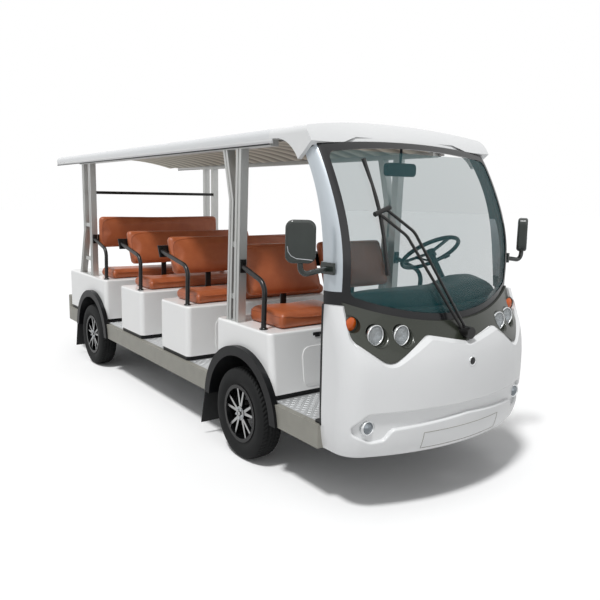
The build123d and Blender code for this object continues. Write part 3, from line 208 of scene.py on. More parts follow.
# Cast iron: dark, rough from the sand mould, with a little dry rust in its hollows
cast_iron, tree, shader = new_material("cast_iron")
sand = add(tree, "TexNoise", {"Scale": 1000 / 5, "Detail": 5})
patch = add(tree, "TexNoise", {"Scale": 1000 / 80, "Detail": 3})
tint = add(tree, "Mix", {"Factor": patch, "A": "#262626", "B": "#3B3632"}, data_type="RGBA")
rough = add(tree, "Bump", {"Height": sand, "Strength": 0.35, "Distance": 0.001})
feed(shader, {"Base Color": tint, "Metallic": 0.4, "Roughness": 0.65, "Normal": rough})
dress("axle_iron", cast_iron)

# Moulded polypropylene case: near black, fine spark-eroded grain
battery_case, tree, shader = new_material("moulded_polypropylene")
grain = add(tree, "TexNoise", {"Scale": 1000 / 2, "Detail": 2})
bump = add(tree, "Bump", {"Height": grain, "Strength": 0.2, "Distance": 0.0005})
feed(shader, {"Base Color": "#242526", "Roughness": 0.55, "Normal": bump})
dress("battery_case", battery_case)

# Wheels
# Four light van tyres with ribbed tread on black alloy rims whose spoke faces are machined
# bright. Each is held by five nuts round a plain centre cap.
WHEELS = (
    ("front_left", 1.322, 1),
    ("front_right", 1.322, -1),
    ("rear_left", -1.468, 1),
    ("rear_right", -1.468, -1),
)
AXLE_MIDDLE, AXLE_HALF = -0.073, 1.395
WHEEL_Y, TYRE_R, SPOKE_R = 0.6625, 0.292, 0.158
TYRE_SECTION = np.array(
    [
        (-0.0630, 0.1725),
        (-0.0640, 0.1860),
        (-0.0690, 0.1980),
        (-0.0760, 0.2120),
        (-0.0795, 0.2300),
        (-0.0795, 0.2420),
        (-0.0775, 0.2560),
        (-0.0725, 0.2700),
        (-0.0660, 0.2800),
        (-0.0580, 0.2862),
        (-0.0420, 0.2903),
        (0.0, 0.2920),
    ]
)
SECTION_STEPS, ROUND_STEPS = 66, 384
TREAD_HALF_W, TREAD_DEPTH, TREAD_FADE = 0.061, 0.0065, 0.002
RIB_GROOVES, RIB_GROOVE_W, RIB_WALL = (-0.027, 0.0, 0.027), 0.0058, 1.6
SHOULDER_LUGS, LUG_SLANT, LUG_CUT, LUG_FROM = 64, 24, 0.14, 0.031
SIPE_CUT, SIPE_TO, SIPE_DEPTH = 0.1, 0.022, 0.5
SIDE_RINGS, RING_W, RING_H = (0.2, 0.252), 0.0022, 0.0004
NUT = ((0, 0.012), (0.00552, 0.012), (0.0092, 0.0084), (0.0092, -0.001), (0, -0.001))
NUT_CIRCLE, NUT_TURNS = 0.0325, np.radians(126 + 72 * np.arange(5))
CAP = ((0, 0.009), (0.0105, 0.00837), (0.01785, 0.0054), (0.021, 0), (0.021, -0.001), (0, -0.001))
HUB_FACE = 0.062


def sheet(points, round_u=False, round_v=False):
    """Corners and quads of a surface given as a grid of points, closed on itself where asked."""
    rows, columns = points.shape[:2]
    u = np.arange(rows if round_u else rows - 1)
    v = np.arange(columns if round_v else columns - 1)
    u, v = (a.ravel() for a in np.meshgrid(u, v, indexing="ij"))
    next_u, next_v = (u + 1) % rows, (v + 1) % columns
    pairs = ((u, v), (next_u, v), (next_u, next_v), (u, next_v))
    return points.reshape(-1, 3), np.stack([row * columns + column for row, column in pairs], axis=1)


def turned(profile, at, axis, steps):
    """A profile of (radius, height along the axis) turned once round an axis through a point."""
    axis = np.array(axis, float) / np.linalg.norm(axis)
    helper = np.array((0, 0, 1.0)) if abs(axis[2]) < 0.9 else np.array((1.0, 0, 0))
    side = np.cross(axis, helper)
    side /= np.linalg.norm(side)
    other = np.cross(axis, side)
    turn = np.linspace(0, 2 * np.pi, steps, endpoint=False)[:, None, None]
    radius, height = (np.array(profile, float)[None, :, i, None] for i in (0, 1))
    points = np.array(at) + radius * (np.cos(turn) * side + np.sin(turn) * other) + height * axis
    return sheet(points, round_u=True)


def make_piece(name, parts, material, body="vehicle", smooth=True):
    """One object from several surfaces: doubles merged, faces turned outwards, riding on a body."""
    starts = np.cumsum([0] + [len(points) for points, _ in parts])
    points = np.concatenate([p for p, _ in parts])
    faces = np.concatenate([f + start for (_, f), start in zip(parts, starts)])
    mesh = bpy.data.meshes.new(name)
    mesh.from_pydata(points, [], faces.tolist())
    work = bmesh.new()
    work.from_mesh(mesh)
    bmesh.ops.remove_doubles(work, verts=work.verts, dist=1e-6)
    bmesh.ops.recalc_face_normals(work, faces=work.faces)
    work.to_mesh(mesh)
    work.free()
    mesh.polygons.foreach_set("use_smooth", np.full(len(mesh.polygons), smooth))
    mesh.materials.append(material)
    piece = bpy.data.objects.new(name, mesh)
    bpy.context.scene.collection.objects.link(piece)
    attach(piece, body)
    return piece


def cloudy(name, colour, cloud_mm, detail, roughness, links):
    """A one-colour material whose roughness drifts between two values in clouds of a real size."""
    material, tree, shader = new_material(name)
    cloud = add(tree, "TexNoise", {"Scale": 1000 / cloud_mm, "Detail": detail})
    drift = add(tree, "MapRange", {"Value": cloud, "To Min": roughness[0], "To Max": roughness[1]})
    feed(shader, {"Base Color": colour, "Roughness": drift, **links})
    return material


def tyre_points(x, side):
    """Tyre skin: its section carried round the axle, cut by rib grooves and slanted shoulder cuts."""
    half = TYRE_SECTION
    whole = np.concatenate([half, half[-2::-1] * (-1, 1)])
    run = np.concatenate([[0], np.cumsum(np.hypot(*np.diff(whole, axis=0).T))])
    at = np.linspace(0, run[-1], SECTION_STEPS)
    across = np.interp(at, run, whole[:, 0])[:, None]
    radius = np.interp(at, run, whole[:, 1])[:, None]
    turn = np.linspace(0, 2 * np.pi, ROUND_STEPS, endpoint=False)[None, :]
    ribs = sum(np.clip(RIB_WALL - np.abs(across - g) / (RIB_GROOVE_W / 2), 0, 1) for g in RIB_GROOVES)
    lug = (turn * SHOULDER_LUGS / (2 * np.pi) + np.abs(across) * LUG_SLANT) % 1
    cuts = (np.abs(lug - 0.5) < LUG_CUT) * (np.abs(across) > LUG_FROM)
    sipe = (np.abs((lug + 0.5) % 1 - 0.5) < SIPE_CUT) * (np.abs(across) < SIPE_TO) * SIPE_DEPTH
    tread = np.clip((TREAD_HALF_W - np.abs(across)) / TREAD_FADE, 0, 1)
    r = radius - TREAD_DEPTH * tread * np.clip(ribs + cuts + sipe, 0, 1)
    ring = sum(np.exp(-(((radius - middle) / RING_W) ** 2)) for middle in SIDE_RINGS)
    y = across + np.sign(across) * RING_H * ring + 0 * turn
    skin = np.stack([x + r * np.cos(turn), side * WHEEL_Y + y, TYRE_R + r * np.sin(turn)], axis=2)
    return sheet(skin, round_u=True, round_v=True)


# Vulcanised rubber: dark grey black, dusty in the tread, soft broad highlights
tyre_rubber, tree, shader = new_material("vulcanised_rubber")
dust = add(tree, "TexNoise", {"Scale": 1000 / 40, "Detail": 6})
fine = add(tree, "TexNoise", {"Scale": 1000 / 3, "Detail": 3})
tint = add(tree, "Mix", {"Factor": dust, "A": "#0E0F10", "B": "#1D1E1E"}, data_type="RGBA")
bump = add(tree, "Bump", {"Height": fine, "Strength": 0.2, "Distance": 0.0006})
feed(shader, {"Base Color": tint, "Roughness": 0.72, "Specular IOR Level": 0.25, "Normal": bump})
dress("tyre_rubber", tyre_rubber)

# Diamond-cut alloy: bright on the spoke faces that look along the axle, black lacquer elsewhere
cut_alloy, tree, shader = new_material("diamond_cut_alloy")
facing = add(tree, "SeparateXYZ", {0: tree.nodes["Texture Coordinate"].outputs["Normal"]})
outward = add(tree, "Math", {0: facing.outputs["Y"]}, operation="ABSOLUTE")
turned_face = add(tree, "MapRange", {"Value": outward, "From Min": 0.9, "From Max": 0.96})
spot = add(tree, "SeparateXYZ", {0: tree.nodes["Texture Coordinate"].outputs["Object"]})
from_middle = add(tree, "Math", {0: spot.outputs["X"], 1: AXLE_MIDDLE}, operation="SUBTRACT")
from_middle = add(tree, "Math", {0: from_middle}, operation="ABSOLUTE")
along = add(tree, "Math", {0: from_middle, 1: AXLE_HALF}, operation="SUBTRACT")
up = add(tree, "Math", {0: spot.outputs["Z"], 1: TYRE_R}, operation="SUBTRACT")
flat = add(tree, "CombineXYZ", {"X": along, "Y": up})
radius = add(tree, "VectorMath", {0: flat}, operation="LENGTH")
inside = add(tree, "Math", {0: radius.outputs["Value"], 1: SPOKE_R}, operation="LESS_THAN")
cut = add(tree, "Math", {0: turned_face, 1: inside}, operation="MULTIPLY")
tint = add(tree, "Mix", {"Factor": cut, "A": "#0C0D0E", "B": "#C3C4C4"}, data_type="RGBA")
shine = add(tree, "MapRange", {"Value": cut, "To Min": 0.25, "To Max": 0.36})
feed(shader, {"Base Color": tint, "Metallic": cut, "Roughness": shine})
dress("rim_alloy", cut_alloy)

# Zinc-plated steel: pale grey with a soft blue cast, used for nuts, bolts and small fixings
zinc_plate = cloudy("zinc_plate", "#B9BCBF", 4, 3, (0.25, 0.45), {"Metallic": 1.0})

for corner, x, side in WHEELS:
    body, out = f"wheel_{corner}", (0, side, 0)
    tyre = make_piece(f"tyre_skin_{corner}", [tyre_points(x, side)], tyre_rubber, body)
    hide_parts(f"tyre_{corner}")
    face = np.array((x, side * (WHEEL_Y + HUB_FACE), TYRE_R))
    ways = np.stack([np.cos(NUT_TURNS), 0 * NUT_TURNS, np.sin(NUT_TURNS)], axis=1)
    nuts = [turned(NUT, face + NUT_CIRCLE * way, out, 6) for way in ways]
    make_piece(f"wheel_nuts_{corner}", nuts, zinc_plate, body, smooth=False)
    make_piece(f"hub_cap_{corner}", [turned(CAP, face, out, 40)], cut_alloy, body)

# Floor and sills
# An aluminium deck with rolled tread bars where feet go, grey sill covers along both edges
# and black plinths under the seat boxes.
DECK_Z = 0.458
BAR_ZONES = ((1.678, 2.124), (0.566, 0.978), (-0.283, 0.082), (-1.129, -0.767))
BAR_HALF_Y, BAR_PITCH, BAR_FROM, BAR_TO = 0.682, 0.027, 0.015, 0.014
BAR_HALF_L, BAR_HALF_W, BAR_H, BAR_SUNK = 0.0125, 0.0032, 0.0018, 0.0002


def tread_bars():
    """Low lens-shaped bars on a square grid, turned one way and the other like a chess board."""
    across = np.arange(-BAR_HALF_Y + BAR_FROM, BAR_HALF_Y - BAR_TO, BAR_PITCH)
    spots = []
    for start, end in BAR_ZONES:
        along = np.arange(start + BAR_FROM, end - BAR_TO, BAR_PITCH)
        gx, gy = np.meshgrid(along, across, indexing="ij")
        i, j = np.meshgrid(np.arange(len(along)), np.arange(len(across)), indexing="ij")
        spots.append(np.stack([gx, gy, (i + j) % 2], axis=2).reshape(-1, 3))
    spots = np.concatenate(spots)
    turn = np.radians(45) * (1 - 2 * spots[:, 2])
    shape = np.array(
        [
            (-BAR_HALF_L, 0, -BAR_SUNK),
            (BAR_HALF_L, 0, -BAR_SUNK),
            (0, -BAR_HALF_W, -BAR_SUNK),
            (0, BAR_HALF_W, -BAR_SUNK),
            (-BAR_HALF_L / 2, 0, BAR_H),
            (BAR_HALF_L / 2, 0, BAR_H),
        ]
    )
    x = spots[:, :1] + shape[:, 0] * np.cos(turn)[:, None] - shape[:, 1] * np.sin(turn)[:, None]
    y = spots[:, 1:2] + shape[:, 0] * np.sin(turn)[:, None] + shape[:, 1] * np.cos(turn)[:, None]
    z = np.broadcast_to(DECK_Z + shape[:, 2], x.shape)
    faces = np.array([(0, 2, 4), (0, 4, 3), (1, 5, 2), (1, 3, 5), (2, 5, 4), (3, 4, 5), (0, 3, 2), (1, 2, 3)])
    count = np.arange(len(spots))[:, None, None] * len(shape)
    return np.stack([x, y, z], axis=2).reshape(-1, 3), (faces[None] + count).reshape(-1, 3)


# Rolled aluminium tread plate: grey bright metal, scuffed to a duller finish in patches
tread_plate, tree, shader = new_material("rolled_aluminium")
scuff = add(tree, "TexNoise", {"Scale": 1000 / 120, "Detail": 8})
fine = add(tree, "TexNoise", {"Scale": 1000 / 6, "Detail": 4})
tint = add(tree, "Mix", {"Factor": scuff, "A": "#BFC1C2", "B": "#DCDEDF"}, data_type="RGBA")
dull = add(tree, "MapRange", {"Value": scuff, "To Min": 0.34, "To Max": 0.52})
bump = add(tree, "Bump", {"Height": fine, "Strength": 0.12, "Distance": 0.0005})
feed(shader, {"Base Color": tint, "Metallic": 0.55, "Roughness": dull, "Normal": bump})
dress("deck_aluminium", tread_plate)
make_piece("tread_bars", [tread_bars()], tread_plate, smooth=False)

# Extruded sill cover: grey-olive plastic with fine lengthwise ribs and a satin face
sill_cover, tree, shader = new_material("extruded_sill")
ribs = add(tree, "TexWave", {"Scale": 1000 / 12 / math.pi}, bands_direction="Z")
wear = add(tree, "TexNoise", {"Scale": 1000 / 90, "Detail": 5})
tint = add(tree, "Mix", {"Factor": wear, "A": "#82817A", "B": "#98968D"}, data_type="RGBA")
bump = add(tree, "Bump", {"Height": ribs.outputs["Fac"], "Strength": 0.15, "Distance": 0.0008})
feed(shader, {"Base Color": tint, "Roughness": 0.45, "Normal": bump})
dress("sill_grey", sill_cover)

# Moulded black plastic: deep grey black with a fine grain, used for arches, plinths and trims
black_plastic, tree, shader = new_material("moulded_black_plastic")
grain = add(tree, "TexNoise", {"Scale": 1000 / 2.5, "Detail": 3})
cloud = add(tree, "TexNoise", {"Scale": 1000 / 150, "Detail": 3})
gloss = add(tree, "MapRange", {"Value": cloud, "To Min": 0.3, "To Max": 0.45})
bump = add(tree, "Bump", {"Height": grain, "Strength": 0.1, "Distance": 0.0005})
feed(shader, {"Base Color": "#0E0F11", "Roughness": gloss, "Specular IOR Level": 0.25, "Normal": bump})
dress("black_trim", black_plastic)

# Rubber sheet: matt charcoal mud flaps and edge seals with a calendered grain
sheet_rubber, tree, shader = new_material("sheet_rubber")
grain = add(tree, "TexVoronoi", {"Scale": 1000 / 5})
bump = add(tree, "Bump", {"Height": grain, "Strength": 0.15, "Distance": 0.0005})
feed(shader, {"Base Color": "#1C1D1E", "Roughness": 0.7, "Normal": bump})
dress("flap_rubber", sheet_rubber)

# Body
# White gel-coated glass fibre boxes and rear body, with a pressed latch on the first box
# and a plain hatch with a pull handle and a blank plate on the tail.
TAIL_X = -2.2
HATCH_Z, HATCH_HALF, HATCH_T, HATCH_CORNER = 0.70, (0.47, 0.11), 0.006, 0.03
PLATE_Z, PLATE_HALF, PLATE_T, PLATE_CORNER = 0.665, (0.22, 0.055), 0.009, 0.008
LATCHES = (
    ((1.632, -0.36, 0.815), (0.034, 0.017), 0.007, 0.008),
    ((1.637, -0.36, 0.812), (0.02, 0.008), 0.006, 0.006),
)
PULL_Z, PULL_REACH, PULL_HALF, PULL_FOOT, PULL_R = 0.775, 0.028, 0.062, 0.07, 0.006


def pad(centre, right_way, up_way, half, thickness, corner, rounds=10):
    """A flat plate: a rounded rectangle carried forward and drawn in over its edge to a closed face."""
    right_way, up_way = (np.array(v, float) / np.linalg.norm(v) for v in (right_way, up_way))
    out_way = np.cross(right_way, up_way)
    quarter = np.linspace(0, np.pi / 2, rounds)
    turns = np.concatenate([quarter + k * np.pi / 2 for k in range(4)])
    signs = np.repeat([(1, 1), (-1, 1), (-1, -1), (1, -1)], rounds, axis=0)
    rim = np.array([half[0] - corner, half[1] - corner]) * signs
    round_out = np.stack([np.cos(turns), np.sin(turns)], axis=1)
    edge = min(corner, thickness) * 0.5
    steps = ((0, 0), (0, thickness - edge), (edge * 0.3, thickness - edge * 0.3), (edge, thickness))
    rows = [(rim + round_out * (corner - inset), lift) for inset, lift in steps]
    rows = [(rim * 0, 0), *rows, (rim * 0, thickness)]
    points = [
        np.array(centre) + flat[:, :1] * right_way + flat[:, 1:] * up_way + lift * out_way
        for flat, lift in rows
    ]
    return sheet(np.array(points), round_v=True)


def tube(path, radius, sides=12):
    """A round bar: a circle carried along a path, square to it, with closed ends."""
    path = np.array(path, float)
    way = np.gradient(path, axis=0)
    way /= np.linalg.norm(way, axis=1, keepdims=True)
    helper = np.array((0, 0, 1.0)) if abs(way[0, 2]) < 0.9 else np.array((1.0, 0, 0))
    side = np.cross(way, helper)
    side /= np.linalg.norm(side, axis=1, keepdims=True)
    other = np.cross(way, side)
    turn = np.linspace(0, 2 * np.pi, sides, endpoint=False)[None, :, None]
    points = path[:, None] + radius * (np.cos(turn) * side[:, None] + np.sin(turn) * other[:, None])
    ends = [np.repeat(path[i][None, None], sides, axis=1) for i in (0, -1)]
    return sheet(np.concatenate([ends[0], points, ends[1]]), round_v=True)


# White gel coat: clean cool white with a deep gloss and the faint waviness of hand-laid mouldings
gel_coat, tree, shader = new_material("white_gel_coat")
wave = add(tree, "TexNoise", {"Scale": 1000 / 140, "Detail": 1})
soil = add(tree, "TexNoise", {"Scale": 1000 / 400, "Detail": 4})
tint = add(tree, "Mix", {"Factor": soil, "A": "#DEDFE0", "B": "#E7E8E8"}, data_type="RGBA")
bump = add(tree, "Bump", {"Height": wave, "Strength": 0.06, "Distance": 0.004})
feed(shader, {"Base Color": tint, "Roughness": 0.24, "Normal": bump})
feed(shader, {"Coat Weight": 0.3, "Coat Roughness": 0.08})
dress("white_body", gel_coat)

# Box gel coat: the same finish in a purer white, as painted light: a lighter copy of the body's gel coat, so
# the seat boxes and rear body, which lie in shade under the roof, render brighter
box_coat_painted_light, tree, shader = new_material("gel_coat_painted_light")
soil = add(tree, "TexNoise", {"Scale": 1000 / 350, "Detail": 4})
tint = add(tree, "Mix", {"Factor": soil, "A": "#EBECEC", "B": "#F2F2F1"}, data_type="RGBA")
feed(shader, {"Base Color": tint, "Roughness": 0.28, "Coat Weight": 0.2, "Coat Roughness": 0.1})
# Painted light: the seat boxes and the rear body take the lighter copy of the gel coat
for node in ("front_seat_box", "middle_seat_boxes", "rear_body"):
    dress(node, box_coat_painted_light)

flat_on = ((0, -1, 0), (0, 0, 1))
latch = [pad(at, *flat_on, half, height, corner) for at, half, height, corner in LATCHES]
make_piece("box_latch", latch, black_plastic)
# The tail hatch takes the same lighter gel coat, painted light like the boxes
hatch = pad((TAIL_X, 0, HATCH_Z), *flat_on, HATCH_HALF, HATCH_T, HATCH_CORNER)
make_piece("tail_hatch", [hatch], box_coat_painted_light)
plate = pad((TAIL_X, 0, PLATE_Z), *flat_on, PLATE_HALF, PLATE_T, PLATE_CORNER)
make_piece("blank_plate", [plate], zinc_plate)
pull = np.array([(0, -PULL_FOOT), (-PULL_REACH, -PULL_HALF), (-PULL_REACH, PULL_HALF), (0, PULL_FOOT)])
pull = np.insert(pull + (TAIL_X, 0), 2, PULL_Z, axis=1)
make_piece("tail_pull", [tube(pull, PULL_R)], black_plastic)

# Red lens: clear acrylic coloured through, with fine upright flutes behind its face
red_acrylic, tree, shader = new_material("red_acrylic")
flutes = add(tree, "TexWave", {"Scale": 1000 / 8 / math.pi}, bands_direction="Y")
bump = add(tree, "Bump", {"Height": flutes.outputs["Fac"], "Strength": 0.4, "Distance": 0.001})
feed(shader, {"Base Color": "#B01A1A", "Roughness": 0.1, "Coat Weight": 1.0, "Normal": bump})
dress("red_lens", red_acrylic)

# Front
# The moulded cowl carries a dark lamp mask, round lamps and a wrapped tinted screen in a
# black surround. Rubber seals the cowl's rear edges; mirrors and a wiper are bolted on.
COWL_REAR_X = 2.13
COWL_EDGE = np.array(
    [(0.33, 0.692), (0.456, 0.712), (0.65, 0.716), (0.82, 0.716), (0.96, 0.716), (1.107, 0.7128)]
)
SEAL_HALF, SEAL_INSET, SEAL_SQUARE = (0.008, 0.0185), 0.015, 0.4
SEAL_FOOT, SEAL_FOOT_HALF, SEAL_FOOT_H, SEAL_FOOT_CORNER = (2.102, 0.69, 0.4585), (0.03, 0.017), 0.016, 0.008
HEADLAMPS = (
    (0.531, 0.958, (2.34896, -0.0218, -0.03457, -0.00054, 0.00035)),
    (0.394, 0.951, (2.39693, -0.01576, -0.03582, -0.00018, 0.00025)),
)
HEADLAMP_R, HEADLAMP_SUNK, LAMP_INNER = 0.0556, 0.012, 0.86
RIM = ((0.86, -0.018), (1, -0.018), (1, -0.001), (0.97, 0.002), (0.9, 0.002), (0.86, -0.003), (0.86, -0.018))
BOWL_DEPTH, BOWL_RIM, BOWL_BACK = 0.03, -0.006, -0.04
BULB = ((0, -0.037), (0.013, -0.037), (0.013, -0.02), (0.01, -0.012), (0, -0.01))
DOME_RISE, DOME_RIM, DOME_BACK = 0.009, -0.003, -0.0045
WELL_STEPS, WELL_WALL, WELL_LIP, MOUTH_SHARE, MOUTH_R = 72, 0.0006, 0.001, 1.04, 0.0014
TURN_LAMP = (2.2655, 0.640, 1.017)
TURN_LAMP_R, TURN_LAMP_RISE, TURN_LAMP_BACK = 0.0362, 0.010, -0.02
TURN_COLLAR = ((0, -0.03), (0.006, -0.03), (0.006, 0.001), (0.004, 0.003), (0.001, 0.002), (0, 0), (0, -0.03))
FOG_LAMP, FOG_LAMP_R = (2.3759, 0.598, 0.492), 0.036
FOG_COLLAR = (
    (0.0002, -0.03),
    (0.004, -0.012),
    (0.0035, 0.003),
    (-0.00108, 0.004),
    (-0.00576, 0.0015),
    (0.0002, -0.03),
)
NOSE_AT, NOSE_R = (2.5296, 0, 0.796), 0.030
NOSE_RING = (
    (0.74, -0.003),
    (0.74, 0.00052),
    (0.82, 0.0013),
    (0.94, 0.00104),
    (1, -0.001),
    (1, -0.0055),
    (0.74, -0.0055),
    (0.74, -0.003),
)
NOSE_DISC = ((0, 0.00104), (0.5, 0.00078), (0.74, 0), (0.74, -0.001), (0, -0.001))
PLATE_LINE_HALF, PLATE_LINE_R, PLATE_LINE_Z = (0.30, 0.046), 0.0017, 0.396
COWL_FRONT = np.array([(0.345, 2.4873), (0.37, 2.4972), (0.396, 2.5048), (0.42, 2.5102), (0.447, 2.5147)])
COWL_BOW = 0.3365
MIRROR_AT, MIRROR_TOE = np.array((2.16, 0.885, 1.433)), math.radians(35)
MIRROR_HALF, MIRROR_T, MIRROR_CORNER, MIRROR_BACK = (0.066, 0.096), 0.0025, 0.034, 0.0295
MIRROR_FRONT, MIRROR_HIGHLIGHT_R = 0.0302, 0.0019
MIRROR_HIGHLIGHT_LINE = np.array(
    [(0, 0.064, -0.022), (0.2, 0.060, -0.048), (0.4, 0.046, -0.068), (0.6, 0.02, -0.081), (1, -0.06, -0.088)]
)
BLADE = np.array(
    [
        (2.062, -0.431, 1.853),
        (2.1484, -0.433, 1.716),
        (2.2105, -0.436, 1.58),
        (2.2634, -0.44, 1.42),
        (2.2955, -0.445, 1.258),
    ]
)
BLADE_LIPS = np.array([(0.026, -0.003, 0), (0.026, 0.003, 0), (0.006, 0.0012, 0), (0.006, -0.0012, 0)])

# Lamp mask lacquer: dark olive grey, satin, with a faint metallic fleck
olive_lacquer, tree, shader = new_material("olive_lacquer")
fleck = add(tree, "TexVoronoi", {"Scale": 1000 / 2.5})
tint = add(tree, "Mix", {"Factor": fleck.outputs["Color"], "A": "#23271F", "B": "#31352C"}, data_type="RGBA")
feed(shader, {"Base Color": tint, "Metallic": 0.2, "Roughness": 0.32, "Coat Weight": 0.25})
dress("olive_trim", olive_lacquer)

# Mirror housing: moulded dark green plastic with a deep gloss, cloudy where it is handled
mirror_gloss, tree, shader = new_material("gloss_green_plastic")
cloud = add(tree, "TexNoise", {"Scale": 1000 / 70, "Detail": 3})
tint = add(tree, "Mix", {"Factor": cloud, "A": "#1C2320", "B": "#2A322E"}, data_type="RGBA")
feed(shader, {"Base Color": tint, "Roughness": 0.22, "Coat Weight": 0.3})
dress("door_mirrors", mirror_gloss)

# Gloss black: deep polished lacquer round the screen, with a faint cloudiness
gloss_black = cloudy("gloss_black_lacquer", "#0B0C0F", 120, 2, (0.16, 0.26), {})
dress("windscreen_surround", gloss_black)

# Silver paint: aluminium flake under clear lacquer, each flake tipped a little differently
silver_lacquer, tree, shader = new_material("silver_lacquer")
flake = add(tree, "TexVoronoi", {"Scale": 1000 / 2})
bump = add(tree, "Bump", {"Height": flake.outputs["Color"], "Strength": 0.08, "Distance": 0.0005})
feed(shader, {"Base Color": "#BEC6CC", "Metallic": 0.5, "Roughness": 0.36, "Normal": bump})
feed(shader, {"Coat Weight": 0.5, "Coat Roughness": 0.06})
dress("silver_paint", silver_lacquer)

# Laminated glass: green-tinted, clear, with a sharp reflection
screen_glass = cloudy("laminated_glass", "#12555A", 300, 2, (0.015, 0.035), {"Alpha": 0.29})
dress("screen_glass", screen_glass)

# Amber lens: coloured acrylic with level prisms
amber_acrylic, tree, shader = new_material("amber_acrylic")
prisms = add(tree, "TexWave", {"Scale": 1000 / 7 / math.pi}, bands_direction="Z")
bump = add(tree, "Bump", {"Height": prisms.outputs["Fac"], "Strength": 0.35, "Distance": 0.001})
feed(shader, {"Base Color": "#D25A02", "Roughness": 0.15, "Coat Weight": 0.2, "Normal": bump})
dress("amber_lens", amber_acrylic)

# Chrome plate: bright mirror metal over moulded plastic
chrome = cloudy("chrome_plate", "#E3E5E6", 30, 2, (0.06, 0.14), {"Metallic": 1.0})
dress("lamp_lens", chrome)

# Lamp glass: clear pressed glass with upright flutes
lamp_glass, tree, shader = new_material("pressed_lamp_glass")
flutes = add(tree, "TexWave", {"Scale": 1000 / 9 / math.pi}, bands_direction="Y")
bump = add(tree, "Bump", {"Height": flutes.outputs["Fac"], "Strength": 0.5, "Distance": 0.0015})
feed(shader, {"Base Color": "#E9EEF0", "Roughness": 0.04, "Alpha": 0.28, "Normal": bump})

# Smoked chrome: darker mirror metal inside the lamps
smoked_chrome = cloudy("smoked_chrome", "#858B90", 25, 2, (0.12, 0.24), {"Metallic": 1.0})


def well(y0, z0, side, bend):
    """A lamp well's wall and mouth line: a circle run out to the mask, whose depth is a sum of waves."""
    turn = np.linspace(0, 2 * np.pi, WELL_STEPS, endpoint=False)
    waves = [np.ones(WELL_STEPS), np.cos(turn), np.sin(turn), np.cos(2 * turn), np.sin(2 * turn)]
    mouth = np.array(bend) @ np.stack(waves)
    back = bend[0] - HEADLAMP_SUNK
    front = np.maximum(mouth - WELL_LIP, back)
    inner, line_r = HEADLAMP_R - WELL_WALL, MOUTH_SHARE * HEADLAMP_R
    rows = [(back + 0 * turn, inner), (front, inner), (front, HEADLAMP_R), (back + 0 * turn, HEADLAMP_R)]
    *wall, line = [
        np.stack([x, side * (y0 + r * np.cos(turn)), z0 + r * np.sin(turn)], axis=1)
        for x, r in [*rows, (mouth, line_r)]
    ]
    ring = tube(np.concatenate([line, line[:1]]), MOUTH_R, 8)
    return sheet(np.stack(wall), round_u=True, round_v=True), ring


rims, bowls, bulbs, domes, wells, ambers, rings = [], [], [], [], [], [], []
onward = (1, 0, 0)
share = np.linspace(1, 0, 9)
inner = HEADLAMP_R * LAMP_INNER
bowl = np.stack([inner * share, BOWL_RIM - BOWL_DEPTH * (1 - share**2)], axis=1)
dome = np.stack([inner * share, DOME_RIM + DOME_RISE * (1 - share**2)], axis=1)
amber = np.stack([TURN_LAMP_R * share, TURN_LAMP_RISE * (1 - share**2)], axis=1)
for side in (-1, 1):
    for y, z, bend in HEADLAMPS:
        wells += well(y, z, side, bend)
        at = (bend[0] - HEADLAMP_SUNK, side * y, z)
        rims.append(turned(np.array(RIM) * (HEADLAMP_R, 1), at, onward, 48))
        bowls.append(turned([(0, BOWL_BACK), (inner, BOWL_BACK), *bowl], at, onward, 48))
        bulbs.append(turned(BULB, at, onward, 20))
        domes.append(turned([(0, DOME_BACK), (inner, DOME_BACK), *dome], at, onward, 48))
    at = np.array(TURN_LAMP) * (1, side, 1)
    wells.append(turned(np.array(TURN_COLLAR) + (TURN_LAMP_R, 0), at, onward, 48))
    ambers.append(turned([(0, TURN_LAMP_BACK), (TURN_LAMP_R, TURN_LAMP_BACK), *amber], at, onward, 48))
    at = np.array(FOG_LAMP) * (1, side, 1)
    rings.append(turned(np.array(FOG_COLLAR) + (FOG_LAMP_R, 0), at, onward, 40))
lamp_rims = make_piece("headlamp_rims", rims, chrome)
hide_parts("headlamps")
make_piece("headlamp_bowls", bowls, smoked_chrome)
make_piece("headlamp_bulbs", bulbs, gloss_black)
make_piece("headlamp_glasses", domes, lamp_glass)
make_piece("lamp_wells", wells, olive_lacquer)
turn_domes = make_piece("turn_lamp_domes", ambers, amber_acrylic)
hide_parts("turn_lamps")
make_piece("fog_lamp_collars", rings, chrome)
dress("fog_lamps", smoked_chrome)

for name, profile, material in (("nose_ring", NOSE_RING, chrome), ("nose_disc", NOSE_DISC, gloss_black)):
    make_piece(name, [turned(np.array(profile) * (NOSE_R, 1), NOSE_AT, onward, 48)], material)

run = np.linspace(-1, 1, 40)
ones = np.ones(40)
y = PLATE_LINE_HALF[0] * np.concatenate([run, ones, -run, -ones])
z = PLATE_LINE_Z + PLATE_LINE_HALF[1] * np.concatenate([-ones, run, ones, -run])
x = np.interp(z, *COWL_FRONT.T) - COWL_BOW * y**2
sides = np.split(np.stack([x, y, z], axis=1), 4)
make_piece("plate_panel_line", [tube(side, PLATE_LINE_R, 6) for side in sides], sill_cover)

